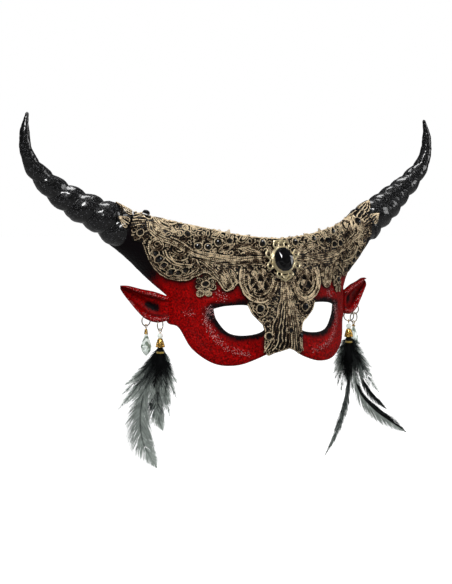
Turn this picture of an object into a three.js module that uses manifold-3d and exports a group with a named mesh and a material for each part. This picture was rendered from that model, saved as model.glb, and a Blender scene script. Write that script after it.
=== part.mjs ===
// A horned carnival half mask: a thin moulded shell with two eye openings, pointed ears, ridged horns,
// lace and black stones over the brow, and crystal and feather earrings that swing from jump rings.
// Millimetres, +Z up. The mask faces -Y. Left and right are as seen from the front, so right is +X.
// The origin is on the inner face of the nose bridge, where the mask rests on its wearer.
import * as THREE from 'three';
import { mergeVertices } from 'three/addons/utils/BufferGeometryUtils.js';
import Module from 'manifold-3d';

const wasm = await Module();
wasm.setup();

const CLEARANCE = 0.35;

const SHELL = { thickness: 2.6, edgeRoll: 1.5, edgeRollWidth: 5, armRoll: 14.5, armRollWidth: 15 };
const FACE = { front: 6, sweep: 41, halfWidth: 82, power: 2.9, sideSlope: 0.7,
  cheekForward: 0.15, cheekFrom: -8, cheekTo: -40 };
const BROW = { front: 12, sweep: 38, reach: 108, power: 1.8, from: 11, to: 46 };
const NOSE = { rise: 11.8, top: 41, bottom: -24, bridgeWidth: 8, tipWidth: 12, widenFrom: 20, widenTo: -33 };
const ARM = { rollFrom: 55, rollTo: 95, rollBelow: 5, rollAbove: 30, rollReach: 22,
  topCorner: [105, 73.6], lowCorner: [121, 48.4] };
const GRID = { halfWidth: 126, low: -52, high: 80, columns: 32, rows: 17 };
const LINE_STEPS = { top: 10, arm: 6, cheek: 22, eye: 36, ear: 40 };

const TOP_EDGE = [[0, 52], [30, 54.8], [62, 61.6], [88, 67.8], ARM.topCorner];
const ARM_UNDERSIDE = [ARM.lowCorner, [100, 29], [87, 14], [81.7, 8]];
const CHEEK_EDGE = [[81.7, 8], [81.7, -13], [75.5, -17.5], [68.5, -34], [54.5, -45.3], [38, -47], [22, -42.5],
  [9, -36], [0, -32.3]];
const EYE = [[54.5, -2], [46, 0.3], [30, 0.6], [21, -5], [15, -15.5], [20, -21.3], [34, -23.2], [45, -20.4],
  [52.5, -10.5]];

const LACE = { thickness: 1.2, picot: 1.2, armCorner: [119.4, 50.6] };
const LACE_SPLIT = [[0, 22], [12, 15], [20, 8.4], [29.6, 5]];
const LACE_BROW_HEM = [[33.5, 10.5], [37, 18.5], [42, 13], [48, 13], [52, 20], [59.5, 26.3], [67, 22.5],
  [73, 20], [82, 21.5], [91, 28.5], [99, 40], [103.5, 50], [114, 54.5]];
const LACE_NOSE_EDGE = [[30.6, 2.4], [27.5, -5], [22.5, -10.5], [18, -15], [16.3, -22], [17, -33],
  [13.8, -39], [7, -36], [0, -33.2]];
const FLOWER = { x: 59.5, z: 18, radius: 4.6, petals: 5, petal: 1.3, petalSteps: 6, thickness: 1 };

const HORN_PATH = [[113.6, 68.5, 61.4], [127, 70, 70], [140, 75, 76.5], [154, 80.5, 85.5], [169, 82, 97],
  [182, 82, 111.5], [187, 82, 124], [187.5, 82, 140], [185, 83, 152.6]];
const HORN = { radii: [15, 13.2, 12, 10.6, 8.8, 7, 5.2, 3.9, 1], sides: 10, rings: 36, turns: 8, ridge: 0.1,
  smoothFrom: 0.62, smoothTo: 0.8, plugRadius: 9, plugLength: 8, plugOverlap: 1 };
const LEAF = { start: 0.8, lift: 0.5, thickness: 1, steps: 5, across: 3, pointed: 0.97, twist: 0.3,
  upper: { turn: 55, length: 13, spread: 24 },
  lower: { turn: 11, length: 9, spread: 17 } };

const EAR = { root: [83.7, 46.3], outward: [0.853, 0.523], thickness: 2.4, cup: 5.5, steps: 9, across: 6 };
const EAR_TOP = [[0, 7.6], [9, 10.8], [20, 13], [30, 15.4], [36.5, 15.6]];
const EAR_LOW = [[0, -12.6], [6, -13.8], [13, -12.4], [20, -7.8], [31, 5.2], [36.5, 12.8]];
const EAR_HOLE = { radius: 1.3, length: 12, drop: 0.35 };
const HOLES = { outerLeft: [16, -8.3], innerLeft: [4.6, -11.7], outerRight: [18.6, -6.4],
  innerRight: [8.2, -11.5] };

const RING = { radius: 4.15, wire: 0.45, wireSides: 6, segments: 14 };
const EYELET = { radius: 1.4, wire: 0.3, wireSides: 5, segments: 12 };
const LINK_DROP = 2 * RING.radius - 2 * RING.wire - CLEARANCE;
const CRYSTAL = { neck: 1.1, girdle: 4.5, girdleDrop: 9.5, length: 17, sides: 8 };
const BAIL = { coneRadius: 1.5, sides: 8, overlap: 0.4, left: { stem: 2, coneHeight: 4 },
  right: { stem: 0.8, coneHeight: 1.6 } };
const BEAD = { radius: 2.2, bore: 0.7, sides: 10, bands: 4, cutAngle: 72 };
const CAP = { topRadius: 1.4, mouthRadius: 3.5, height: 6.4, wall: 0.6, sides: 12, pinShare: 0.6 };
const FLUFF = { neck: 2.4, neckLength: 7.5, flatten: 0.66, sides: 12, insideCap: 1, shoulder: 6 };
const THREAD = { radius: 2.8, width: 0.6, height: 1.2, drop: 6 };
const BLADE = { thickness: 1, rootHalf: 0.4, steps: 10 };
const YAW = { outerLeft: 0.235, innerLeft: 0.585, outerRight: -0.56, linkRight: 0.26, innerRight: -0.7 };
const TASSEL_PLANE = -0.471;
const TASSEL_LEFT = { bulge: 14, length: 55, plane: TASSEL_PLANE, blades: [
  { name: 'feather_broad_left', root: [-14.5, -66], tip: [-4, -108], bow: -14, halfWidth: 5.5 }] };
const TASSEL_RIGHT = { bulge: 13, length: 48, plane: TASSEL_PLANE, blades: [
  { name: 'feather_narrow_right', root: [0, -64], tip: [-19.5, -117], bow: 5, halfWidth: 1.8 },
  { name: 'feather_side_right', root: [10, -62], tip: [49, -98], bow: -5, halfWidth: 3 }] };

const BROOCH = { x: 0, z: 36, tilt: 16, lift: 4.5, plate: 2, halfWidth: 12.4, halfHeight: 13, loops: 8,
  loopRadius: 2.9, stoneWidth: 8.6, stoneHeight: 9.8, stoneDepth: 4.4 };
const STONE = { sides: 7, girdle: 0.35, table: 0.6, height: 0.8, lift: LACE.thickness + CLEARANCE + 0.5 };
const STONE_PAIRS = { nose_stone: [20, -1.7, 2.5], nose_low_stone: [13.3, -24, 2.2],
  brow_top_stone: [14.6, 49.5, 1.9], flower_stone: [FLOWER.x, FLOWER.z, 1.9], row_stone_1: [64.5, 47.5, 1.9],
  row_stone_2: [57, 47, 1.9], row_stone_3: [49.5, 50.5, 1.9], crescent_stone_1: [91, 38, 2.1],
  crescent_stone_2: [81, 27.5, 2.1] };
const SINGLE_STONES = { nose_centre_stone: [0.3, -19, 2], horn_stone_right: [90.5, 63.5, 2.7],
  horn_stone_left: [-97.8, 69.7, 2.7] };

const PAINT = {
  shell: { color: 0x9c0a0c, roughness: 0.42, metalness: 0.1 },
  horn: { color: 0x0b0b0c, roughness: 0.22, metalness: 0.1 },
  lace: { color: 0x8f7a55, roughness: 0.55, metalness: 0.35 },
  gold: { color: 0xc9982f, roughness: 0.3, metalness: 1 },
  paleGold: { color: 0xb8a47c, roughness: 0.35, metalness: 0.8 },
  jet: { color: 0x060607, roughness: 0.06, metalness: 0 },
  crystal: { color: 0xdfe9e2, roughness: 0.05, metalness: 0 },
  feather: { color: 0x1a1c1e, roughness: 0.8, metalness: 0 },
  thread: { color: 0xc7a62a, roughness: 0.6, metalness: 0 },
};

const mask = new THREE.Group();

function blend(from, to, value) {
  return THREE.MathUtils.smoothstep(value, from, to);
}

function points2(list) {
  return list.map(([x, z]) => new THREE.Vector2(x, z));
}

function smoothLine(list, count) {
  return new THREE.SplineCurve(points2(list)).getPoints(count);
}

function mirroredLine(line) {
  return line.map((p) => new THREE.Vector2(-p.x, p.y)).reverse();
}

function addMesh(name, geometry, paint, parent = mask) {
  const mesh = new THREE.Mesh(geometry, new THREE.MeshStandardMaterial(paint));
  mesh.name = name;
  parent.add(mesh);
  return mesh;
}

// ---- solids -------------------------------------------------------------------------------------------

function welded(geometry) {
  const bare = geometry.clone();
  bare.deleteAttribute('normal');
  bare.deleteAttribute('uv');
  return mergeVertices(bare, 1e-4);
}

function toSolid(geometry) {
  const mesh = welded(geometry);
  const vertProperties = new Float32Array(mesh.attributes.position.array);
  const triVerts = new Uint32Array(mesh.index.array);
  return new wasm.Manifold(new wasm.Mesh({ numProp: 3, vertProperties, triVerts }));
}

function toGeometry(solid) {
  const mesh = solid.getMesh();
  const geometry = new THREE.BufferGeometry();
  geometry.setAttribute('position', new THREE.BufferAttribute(mesh.vertProperties, 3));
  geometry.setIndex(new THREE.BufferAttribute(mesh.triVerts, 1));
  geometry.computeVertexNormals();
  return geometry;
}

function moved(geometry, map) {
  const result = welded(geometry);
  const position = result.attributes.position;
  const point = new THREE.Vector3();
  for (let i = 0; i < position.count; i += 1) {
    point.fromBufferAttribute(position, i);
    map(point);
    position.setXYZ(i, point.x, point.y, point.z);
  }
  result.computeVertexNormals();
  return result;
}

function mirrored(geometry) {
  const result = moved(geometry, (point) => point.setX(-point.x));
  const index = result.index.array;
  for (let i = 0; i < index.length; i += 3) {
    const second = index[i + 1];
    index[i + 1] = index[i + 2];
    index[i + 2] = second;
  }
  result.computeVertexNormals();
  return result;
}

// A closed slab of columns by rows cells. place(u, v, front) gives its points, with u and v from 0 to 1, and
// both faces have their diagonals the same way, so that slabs on one grid lie flat on each other.
function slab(columns, rows, place) {
  const positions = [];
  const index = [];
  const at = (i, j, back) => 2 * (j * (columns + 1) + i) + back;
  const quad = (a, b, c, d) => index.push(a, b, c, a, c, d);
  for (let j = 0; j <= rows; j += 1) {
    for (let i = 0; i <= columns; i += 1) {
      positions.push(...place(i / columns, j / rows, true).toArray());
      positions.push(...place(i / columns, j / rows, false).toArray());
    }
  }
  for (let j = 0; j < rows; j += 1) {
    for (let i = 0; i < columns; i += 1) {
      quad(at(i, j, 0), at(i + 1, j, 0), at(i + 1, j + 1, 0), at(i, j + 1, 0));
      quad(at(i + 1, j + 1, 1), at(i + 1, j, 1), at(i, j, 1), at(i, j + 1, 1));
    }
  }
  for (let i = 0; i < columns; i += 1) {
    quad(at(i + 1, 0, 0), at(i, 0, 0), at(i, 0, 1), at(i + 1, 0, 1));
    quad(at(i, rows, 0), at(i + 1, rows, 0), at(i + 1, rows, 1), at(i, rows, 1));
  }
  for (let j = 0; j < rows; j += 1) {
    quad(at(0, j, 0), at(0, j + 1, 0), at(0, j + 1, 1), at(0, j, 1));
    quad(at(columns, j + 1, 0), at(columns, j, 0), at(columns, j, 1), at(columns, j + 1, 1));
  }
  const geometry = new THREE.BufferGeometry();
  geometry.setAttribute('position', new THREE.Float32BufferAttribute(positions, 3));
  geometry.setIndex(index);
  geometry.computeVertexNormals();
  return geometry;
}

// A prism of the outline drawn in X and Z, reaching far in front of and behind the mask.
function prism(outline) {
  const reach = 400;
  const shape = new THREE.Shape(outline);
  const geometry = new THREE.ExtrudeGeometry(shape, { depth: reach, bevelEnabled: false });
  geometry.translate(0, 0, -reach / 2);
  return geometry.rotateX(Math.PI / 2);
}

// ---- the shell's surface ------------------------------------------------------------------------------

function halfOutline(armReach) {
  const away = new THREE.Vector2(...ARM.lowCorner).sub(new THREE.Vector2(...ARM.topCorner)).normalize();
  const outward = new THREE.Vector2(-away.y, away.x).multiplyScalar(armReach);
  const arm = smoothLine(ARM_UNDERSIDE, LINE_STEPS.arm);
  const cheek = smoothLine(CHEEK_EDGE, LINE_STEPS.cheek);
  const corners = armReach > 0 ? points2([ARM.topCorner, ARM.lowCorner]).map((p) => p.add(outward)) : [];
  return [...smoothLine(TOP_EDGE, LINE_STEPS.top), ...corners, ...arm, ...cheek.slice(1)];
}

const HALF = halfOutline(0);
const ROLL_LINE = halfOutline(ARM.rollReach);

function edgeDistance(x, z) {
  const point = new THREE.Vector3(Math.abs(x), z, 0);
  const near = new THREE.Vector3();
  const side = new THREE.Line3();
  let best = Infinity;
  for (let i = 0; i + 1 < ROLL_LINE.length; i += 1) {
    side.start.set(ROLL_LINE[i].x, ROLL_LINE[i].y, 0);
    side.end.set(ROLL_LINE[i + 1].x, ROLL_LINE[i + 1].y, 0);
    side.closestPointToPoint(point, true, near);
    best = Math.min(best, near.distanceTo(point));
  }
  return best;
}

function insideOutline(x, z) {
  const across = Math.abs(x);
  let inside = false;
  ROLL_LINE.forEach((start, i) => {
    const end = ROLL_LINE[(i + 1) % ROLL_LINE.length];
    const crosses = start.y > z !== end.y > z;
    if (crosses && across < start.x + (end.x - start.x) * (z - start.y) / (end.y - start.y)) inside = !inside;
  });
  return inside;
}

// How far back the front of the mask lies, before its edges roll over.
function sheetDepth(x, z) {
  const across = Math.abs(x);
  const within = Math.min(across, FACE.halfWidth) / FACE.halfWidth;
  const beyond = Math.max(0, across - FACE.halfWidth);
  const cheek = 1 - FACE.cheekForward * (1 - blend(FACE.cheekTo, FACE.cheekFrom, z));
  const face = FACE.front + FACE.sweep * cheek * within ** FACE.power + FACE.sideSlope * beyond;
  const brow = BROW.front + BROW.sweep * (across / BROW.reach) ** BROW.power;
  const widening = 1 - blend(NOSE.widenTo, NOSE.widenFrom, z);
  const noseWidth = THREE.MathUtils.lerp(NOSE.bridgeWidth, NOSE.tipWidth, widening);
  const nose = NOSE.rise * (1 - blend(NOSE.bottom, NOSE.top, z)) * Math.exp(-((across / noseWidth) ** 2));
  return THREE.MathUtils.lerp(face, brow, blend(BROW.from, BROW.to, z)) - nose;
}

// The front of the shell, with its edges rolled back; towards the horns the roll makes a half tube.
function frontDepth(x, z) {
  const arm = blend(ARM.rollFrom, ARM.rollTo, Math.abs(x)) * blend(ARM.rollBelow, ARM.rollAbove, z);
  const roll = THREE.MathUtils.lerp(SHELL.edgeRoll, SHELL.armRoll, arm);
  const width = THREE.MathUtils.lerp(SHELL.edgeRollWidth, SHELL.armRollWidth, arm);
  const inset = insideOutline(x, z) ? edgeDistance(x, z) : 0;
  const over = Math.max(0, 1 - inset / width);
  return sheetDepth(x, z) + roll * (1 - Math.sqrt(1 - over * over));
}

// A layer that follows the shell's surface between two depths in front of it, cut to an outline in X and Z.
function layer(outlines, front, back, holes = []) {
  const sheet = slab(GRID.columns, GRID.rows, (u, v, isFront) => {
    const x = THREE.MathUtils.lerp(-GRID.halfWidth, GRID.halfWidth, u);
    const z = THREE.MathUtils.lerp(GRID.low, GRID.high, v);
    return new THREE.Vector3(x, frontDepth(x, z) - (isFront ? front : back), z);
  });
  let solid = toSolid(sheet);
  outlines.forEach((outline) => {
    solid = solid.intersect(toSolid(prism(outline)));
  });
  holes.forEach((hole) => {
    solid = solid.subtract(toSolid(prism(hole)));
  });
  return toGeometry(solid);
}

function placeOnShell(object, x, z, lift) {
  const step = 1.5;
  const slopeX = (frontDepth(x + step, z) - frontDepth(x - step, z)) / (2 * step);
  const slopeZ = (frontDepth(x, z + step) - frontDepth(x, z - step)) / (2 * step);
  const outward = new THREE.Vector3(slopeX, -1, slopeZ).normalize();
  object.quaternion.setFromUnitVectors(new THREE.Vector3(0, 1, 0), outward);
  object.position.set(x, frontDepth(x, z), z).addScaledVector(outward, lift);
}

// ---- shell and lace -----------------------------------------------------------------------------------

function buildShell() {
  const outline = [...HALF, ...mirroredLine(HALF).slice(1, -1)];
  const eye = new THREE.SplineCurve(points2([...EYE, EYE[0]])).getPoints(LINE_STEPS.eye).slice(0, -1);
  addMesh('mask_shell', layer([outline], 0, -SHELL.thickness, [eye, mirroredLine(eye)]), PAINT.shell);
}

function buildLace() {
  const front = LACE.thickness + CLEARANCE;
  const split = points2(LACE_SPLIT);
  const halfGap = CLEARANCE / 2;
  const lift = new THREE.Vector2(0, LACE.picot);
  const top = smoothLine(TOP_EDGE, LINE_STEPS.top).map((p) => p.clone().add(lift));
  top[0].x = halfGap;
  const hem = points2(LACE_BROW_HEM).reverse();
  const upperSplit = split.map((p) => new THREE.Vector2(p.x + halfGap, p.y + halfGap)).reverse();
  const brow = [...top, new THREE.Vector2(...LACE.armCorner), ...hem, ...upperSplit];
  addMesh('lace_brow_right', layer([brow], front, CLEARANCE), PAINT.lace);
  addMesh('lace_brow_left', layer([mirroredLine(brow)], front, CLEARANCE), PAINT.lace);
  const noseHalf = [...split.map((p) => new THREE.Vector2(p.x, p.y - halfGap)), ...points2(LACE_NOSE_EDGE)];
  const nose = [...noseHalf, ...mirroredLine(noseHalf).slice(1, -1)];
  addMesh('lace_nose', layer([nose], front, CLEARANCE), PAINT.lace);
}

function buildFlower(sign, name) {
  const { x, z, petals, petalSteps, thickness } = FLOWER;
  const outline = [];
  const steps = petals * petalSteps;
  for (let i = 0; i < steps; i += 1) {
    const angle = (i / steps) * 2 * Math.PI;
    const radius = FLOWER.radius + FLOWER.petal * Math.cos(petals * angle);
    outline.push(new THREE.Vector2(sign * x + radius * Math.sin(angle), z + radius * Math.cos(angle)));
  }
  addMesh(name, layer([outline], CLEARANCE + thickness, CLEARANCE), PAINT.lace);
}

// ---- horns and the lace leaves on them ----------------------------------------------------------------

const HORN_POINTS = HORN_PATH.map((p) => new THREE.Vector3(...p));
const HORN_CURVE = new THREE.CatmullRomCurve3(HORN_POINTS, false, 'centripetal');
HORN_CURVE.arcLengthDivisions = 400;

function hornRadius(t) {
  const place = t * (HORN.radii.length - 1);
  const low = Math.min(Math.floor(place), HORN.radii.length - 2);
  return THREE.MathUtils.lerp(HORN.radii[low], HORN.radii[low + 1], place - low);
}

// The point at a fraction of the horn's length, an angle up from the front, and a distance from its middle.
function hornPoint(t, angle, distance) {
  const tangent = HORN_CURVE.getTangentAt(t);
  const front = new THREE.Vector3(0, -1, 0).projectOnPlane(tangent).normalize();
  const up = new THREE.Vector3().crossVectors(front, tangent).normalize();
  return HORN_CURVE.getPointAt(t)
    .addScaledVector(front, distance * Math.cos(angle))
    .addScaledVector(up, distance * Math.sin(angle));
}

function hornGeometry() {
  const tube = new THREE.CylinderGeometry(1, 1, 1, HORN.sides, HORN.rings);
  const body = moved(tube, (point) => {
    const t = THREE.MathUtils.clamp(point.y + 0.5, 0, 1);
    const angle = Math.atan2(-point.x, point.z);
    const ribbed = 1 - blend(HORN.smoothFrom, HORN.smoothTo, t);
    const ridge = 1 + HORN.ridge * ribbed * Math.cos(2 * Math.PI * HORN.turns * t + angle);
    const distance = hornRadius(t) * ridge * Math.hypot(point.x, point.z);
    point.copy(hornPoint(t, angle, distance));
  });
  const plug = new THREE.CylinderGeometry(HORN.plugRadius, HORN.plugRadius, HORN.plugLength, HORN.sides);
  plug.translate(0, HORN.plugOverlap - HORN.plugLength / 2, 0);
  const start = HORN_CURVE.getTangentAt(0);
  const turn = new THREE.Quaternion().setFromUnitVectors(new THREE.Vector3(0, 1, 0), start);
  plug.applyQuaternion(turn).translate(...HORN_PATH[0]);
  return toGeometry(toSolid(body).add(toSolid(plug)));
}

function leafGeometry(leaf) {
  const length = HORN_CURVE.getLength();
  return slab(LEAF.steps, LEAF.across, (along, across, isFront) => {
    const t = (LEAF.start + leaf.length * along) / length;
    const half = leaf.spread * Math.sqrt(1 - LEAF.pointed * along);
    const turn = leaf.turn * (1 + LEAF.twist * along);
    const angle = THREE.MathUtils.degToRad(turn + half * (2 * across - 1));
    const raised = LEAF.lift + (isFront ? LEAF.thickness : 0);
    return hornPoint(t, angle, hornRadius(t) * (1 + HORN.ridge) + raised);
  });
}

function buildHorns() {
  const horn = hornGeometry();
  addMesh('horn_right', horn, PAINT.horn);
  addMesh('horn_left', mirrored(horn), PAINT.horn);
  for (const place of ['upper', 'lower']) {
    const leaf = leafGeometry(LEAF[place]);
    addMesh(`lace_leaf_${place}_right`, leaf, PAINT.lace);
    addMesh(`lace_leaf_${place}_left`, mirrored(leaf), PAINT.lace);
  }
}

// ---- ears ---------------------------------------------------------------------------------------------

function earPoint(u, z, behind) {
  const [ox, oy] = EAR.outward;
  return new THREE.Vector3(EAR.root[0] + ox * u - oy * behind, EAR.root[1] + oy * u + ox * behind, z);
}

function heightAt(line, u) {
  const next = Math.max(1, line.findIndex((p) => p.x >= u));
  const before = line[next - 1];
  const after = line[next];
  return THREE.MathUtils.lerp(before.y, after.y, (u - before.x) / (after.x - before.x));
}

const EAR_CREST = smoothLine(EAR_TOP, LINE_STEPS.ear);
const EAR_LOBE = smoothLine(EAR_LOW, LINE_STEPS.ear);
const EAR_REACH = EAR_TOP[EAR_TOP.length - 1][0];

function earHollow(u, across) {
  return EAR.cup * (1 - (2 * across - 1) ** 2) ** 2 * Math.sin(Math.PI * u / EAR_REACH);
}

function earGeometry() {
  return slab(EAR.steps, EAR.across, (along, across, isFront) => {
    const u = along * EAR_REACH;
    const rise = THREE.MathUtils.lerp(heightAt(EAR_LOBE, u), heightAt(EAR_CREST, u), across);
    return earPoint(u, rise, earHollow(u, across) + (isFront ? 0 : EAR.thickness));
  });
}

// The middle of the ear's wall where a hole at u and z goes through it.
function holePoint([u, z], sign) {
  const across = (z - heightAt(EAR_LOBE, u)) / (heightAt(EAR_CREST, u) - heightAt(EAR_LOBE, u));
  const middle = earPoint(u, z, earHollow(u, across) + EAR.thickness / 2);
  return middle.setX(sign * middle.x);
}

function earHole(place, yaw) {
  const hole = new THREE.CylinderGeometry(EAR_HOLE.radius, EAR_HOLE.radius, EAR_HOLE.length, 10);
  hole.rotateZ(Math.PI / 2).rotateZ(yaw);
  const middle = holePoint(place, 1);
  return hole.translate(middle.x, middle.y, middle.z - EAR_HOLE.drop);
}

// ---- jewels -------------------------------------------------------------------------------------------

// A faceted stone standing on its base, with its table towards +Y.
function stone(radius, height) {
  const girdle = height * STONE.girdle;
  const profile = [[0, 0], [radius, 0], [radius, girdle], [radius * STONE.table, height], [0, height]];
  return new THREE.LatheGeometry(points2(profile), STONE.sides);
}

function buildStone(name, x, z, radius) {
  const mesh = addMesh(name, stone(radius, radius * STONE.height), { ...PAINT.jet, flatShading: true });
  placeOnShell(mesh, x, z, STONE.lift);
}

function buildStones() {
  for (const [name, [x, z, radius]] of Object.entries(STONE_PAIRS)) {
    buildStone(`${name}_right`, x, z, radius);
    buildStone(`${name}_left`, -x, z, radius);
  }
  for (const [name, [x, z, radius]] of Object.entries(SINGLE_STONES)) {
    buildStone(name, x, z, radius);
  }
}

function ovalLine(halfWidth, halfHeight, count) {
  return new THREE.EllipseCurve(0, 0, halfWidth, halfHeight, 0, 2 * Math.PI).getPoints(count).slice(0, -1);
}

function plate(outline, depth, holes = []) {
  const shape = new THREE.Shape(outline);
  shape.holes = holes.map((hole) => new THREE.Path(hole));
  return new THREE.ExtrudeGeometry(shape, { depth, bevelEnabled: false }).rotateX(Math.PI / 2);
}

function broochSetting() {
  const { loops, loopRadius, halfWidth, halfHeight, plate: depth } = BROOCH;
  let solid = toSolid(plate(ovalLine(halfWidth, halfHeight, 32), depth));
  for (let i = 0; i < loops; i += 1) {
    const angle = (2 * Math.PI * (i + 0.5)) / loops;
    const loop = plate(ovalLine(loopRadius, loopRadius, 10), depth);
    loop.translate(halfWidth * Math.cos(angle), 0, halfHeight * Math.sin(angle));
    solid = solid.add(toSolid(loop));
  }
  return toGeometry(solid);
}

function buildBrooch() {
  const brooch = new THREE.Group();
  brooch.position.set(BROOCH.x, frontDepth(BROOCH.x, BROOCH.z) - BROOCH.lift, BROOCH.z);
  brooch.rotation.x = -THREE.MathUtils.degToRad(BROOCH.tilt);
  mask.add(brooch);
  addMesh('brooch_setting', broochSetting(), PAINT.paleGold, brooch);
  const cut = stone(1, BROOCH.stoneDepth).rotateX(Math.PI).scale(BROOCH.stoneWidth, 1, BROOCH.stoneHeight);
  cut.translate(0, -BROOCH.plate - CLEARANCE, 0);
  addMesh('brooch_stone', cut, { ...PAINT.jet, flatShading: true }, brooch);
}

// ---- earrings -----------------------------------------------------------------------------------------

function wireRing({ radius, wire, wireSides, segments }) {
  return new THREE.TorusGeometry(radius, wire, wireSides, segments).rotateX(Math.PI / 2);
}

// A group whose origin is the point that a ring hangs from, with the ring's plane turned to a yaw.
function hangingPoint(position, yaw) {
  const group = new THREE.Group();
  group.position.copy(position);
  group.rotation.z = yaw;
  mask.add(group);
  return group;
}

function hangRing(name, hook) {
  addMesh(name, wireRing(RING).translate(0, 0, -RING.radius), PAINT.paleGold, hook);
}

// Where the next link's wire crosses inside the bottom of a ring that hangs from a point.
function ringFoot(position) {
  return position.clone().add(new THREE.Vector3(0, 0, -LINK_DROP));
}

function eyelet(stemLength) {
  const loop = wireRing(EYELET).rotateZ(Math.PI / 2).translate(0, 0, -EYELET.radius);
  const top = -2 * EYELET.radius + EYELET.wire / 2;
  const stem = new THREE.CylinderGeometry(EYELET.wire, EYELET.wire, stemLength, 6).rotateX(Math.PI / 2);
  stem.translate(0, 0, top - stemLength / 2);
  return { solid: toSolid(loop).add(toSolid(stem)), foot: top - stemLength };
}

function lathe(profile, sides) {
  return new THREE.LatheGeometry(points2(profile), sides).rotateX(Math.PI / 2);
}

function hangCrystal(side, foot, yaw) {
  const hook = hangingPoint(foot, yaw);
  const { stem, coneHeight } = BAIL[side];
  const pin = eyelet(stem);
  const coneTop = pin.foot + stem * BAIL.overlap;
  const cone = new THREE.CylinderGeometry(BAIL.coneRadius * 0.5, BAIL.coneRadius, coneHeight, BAIL.sides);
  cone.rotateX(Math.PI / 2).translate(0, 0, coneTop - coneHeight / 2);
  addMesh(`crystal_bail_${side}`, toGeometry(pin.solid.add(toSolid(cone))), PAINT.gold, hook);
  const { neck, girdle, girdleDrop, length, sides } = CRYSTAL;
  const profile = [[0, -length], [girdle * 0.45, -length * 0.88], [girdle, -girdleDrop], [neck, 0], [0, 0]];
  const drop = lathe(profile, sides).translate(0, 0, coneTop - coneHeight - CLEARANCE);
  addMesh(`crystal_drop_${side}`, drop, { ...PAINT.crystal, flatShading: true }, hook);
}

function feather(outline) {
  const depth = BLADE.thickness;
  const blade = new THREE.ExtrudeGeometry(new THREE.Shape(outline), { depth, bevelEnabled: false });
  return blade.translate(0, 0, -depth / 2).rotateX(Math.PI / 2);
}

// The blade of a feather from its root to its tip, bowed sideways, drawn in X and Z.
function bladeOutline({ root, tip, bow, halfWidth }) {
  const start = new THREE.Vector2(...root);
  const end = new THREE.Vector2(...tip);
  const across = new THREE.Vector2(start.y - end.y, end.x - start.x).normalize();
  const middle = start.clone().add(end).multiplyScalar(0.5).addScaledVector(across, bow);
  const spine = new THREE.QuadraticBezierCurve(start, middle, end);
  const edges = [[], []];
  for (let i = 0; i <= BLADE.steps; i += 1) {
    const t = i / BLADE.steps;
    const half = BLADE.rootHalf + halfWidth * Math.sin(Math.PI * Math.sqrt(t) * 0.98);
    const point = spine.getPoint(t);
    edges[0].push(point.clone().addScaledVector(across, half));
    edges[1].unshift(point.clone().addScaledVector(across, -half));
  }
  return [...edges[0], ...edges[1]];
}

function beadGeometry() {
  const { radius, bore, sides, bands, cutAngle } = BEAD;
  const profile = [];
  for (let i = 0; i <= bands; i += 1) {
    const angle = THREE.MathUtils.degToRad(cutAngle * (2 * i / bands - 1));
    profile.push([radius * Math.cos(angle), radius * Math.sin(angle)]);
  }
  const end = radius * Math.sin(THREE.MathUtils.degToRad(cutAngle));
  return lathe([[bore, -end], ...profile, [bore, end], [bore, -end]], sides);
}

function capGeometry() {
  const { topRadius, mouthRadius, height, wall, sides } = CAP;
  const { bore } = BEAD;
  return lathe([[bore, -wall], [topRadius, -wall], [mouthRadius - wall, -height], [mouthRadius, -height],
    [topRadius, 0], [bore, 0], [bore, -wall]], sides);
}

function threadGeometry() {
  const { radius, width, height } = THREAD;
  const outer = radius + width;
  return lathe([[radius, 0], [outer, 0], [outer, height], [radius, height], [radius, 0]], FLUFF.sides);
}

// The bundle of down: a round neck that widens into a flattened drop.
function fluffGeometry({ bulge, length }) {
  const { neck, neckLength, flatten, sides, shoulder } = FLUFF;
  const profile = [[0, -length], [bulge * 0.6, -length * 0.93], [bulge, -length * 0.72],
    [bulge * 0.85, -length * 0.5], [neck * 1.7, -neckLength - 4], [neck, -neckLength], [neck, 0], [0, 0]];
  return moved(lathe(profile, sides), (point) => {
    const below = blend(neckLength, neckLength + shoulder, -point.z);
    point.y *= THREE.MathUtils.lerp(1, flatten, below);
  });
}

function hangTassel(side, foot, yaw, tassel) {
  const hook = hangingPoint(foot, yaw);
  const beadMiddle = -2 * EYELET.radius - EYELET.wire - CLEARANCE - BEAD.radius;
  const capTop = beadMiddle - BEAD.radius - CLEARANCE;
  const fluffTop = capTop - CAP.height + FLUFF.insideCap;
  const turn = tassel.plane - yaw;
  const pin = eyelet(2 * BEAD.radius + CAP.height * CAP.pinShare);
  addMesh(`eye_pin_${side}`, toGeometry(pin.solid), PAINT.gold, hook);
  addMesh(`clear_bead_${side}`, beadGeometry().translate(0, 0, beadMiddle), PAINT.crystal, hook);
  addMesh(`bead_cap_${side}`, capGeometry().translate(0, 0, capTop), PAINT.gold, hook);
  const fluff = fluffGeometry(tassel).translate(0, 0, fluffTop).rotateZ(turn);
  addMesh(`feather_fluff_${side}`, fluff, PAINT.feather, hook);
  const thread = threadGeometry().translate(0, 0, fluffTop - THREAD.drop);
  addMesh(`thread_wrap_${side}`, thread, PAINT.thread, hook);
  tassel.blades.forEach((blade) => {
    addMesh(blade.name, feather(bladeOutline(blade)).rotateZ(turn), PAINT.feather, hook);
  });
}

function buildEars() {
  const ear = toSolid(earGeometry());
  for (const [side, sign] of [['Right', 1], ['Left', -1]]) {
    let pierced = ear;
    for (const place of [`outer${side}`, `inner${side}`]) {
      pierced = pierced.subtract(toSolid(earHole(HOLES[place], sign * YAW[place])));
    }
    const geometry = toGeometry(pierced);
    addMesh(`ear_${side.toLowerCase()}`, sign > 0 ? geometry : mirrored(geometry), PAINT.shell);
  }
}

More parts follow.
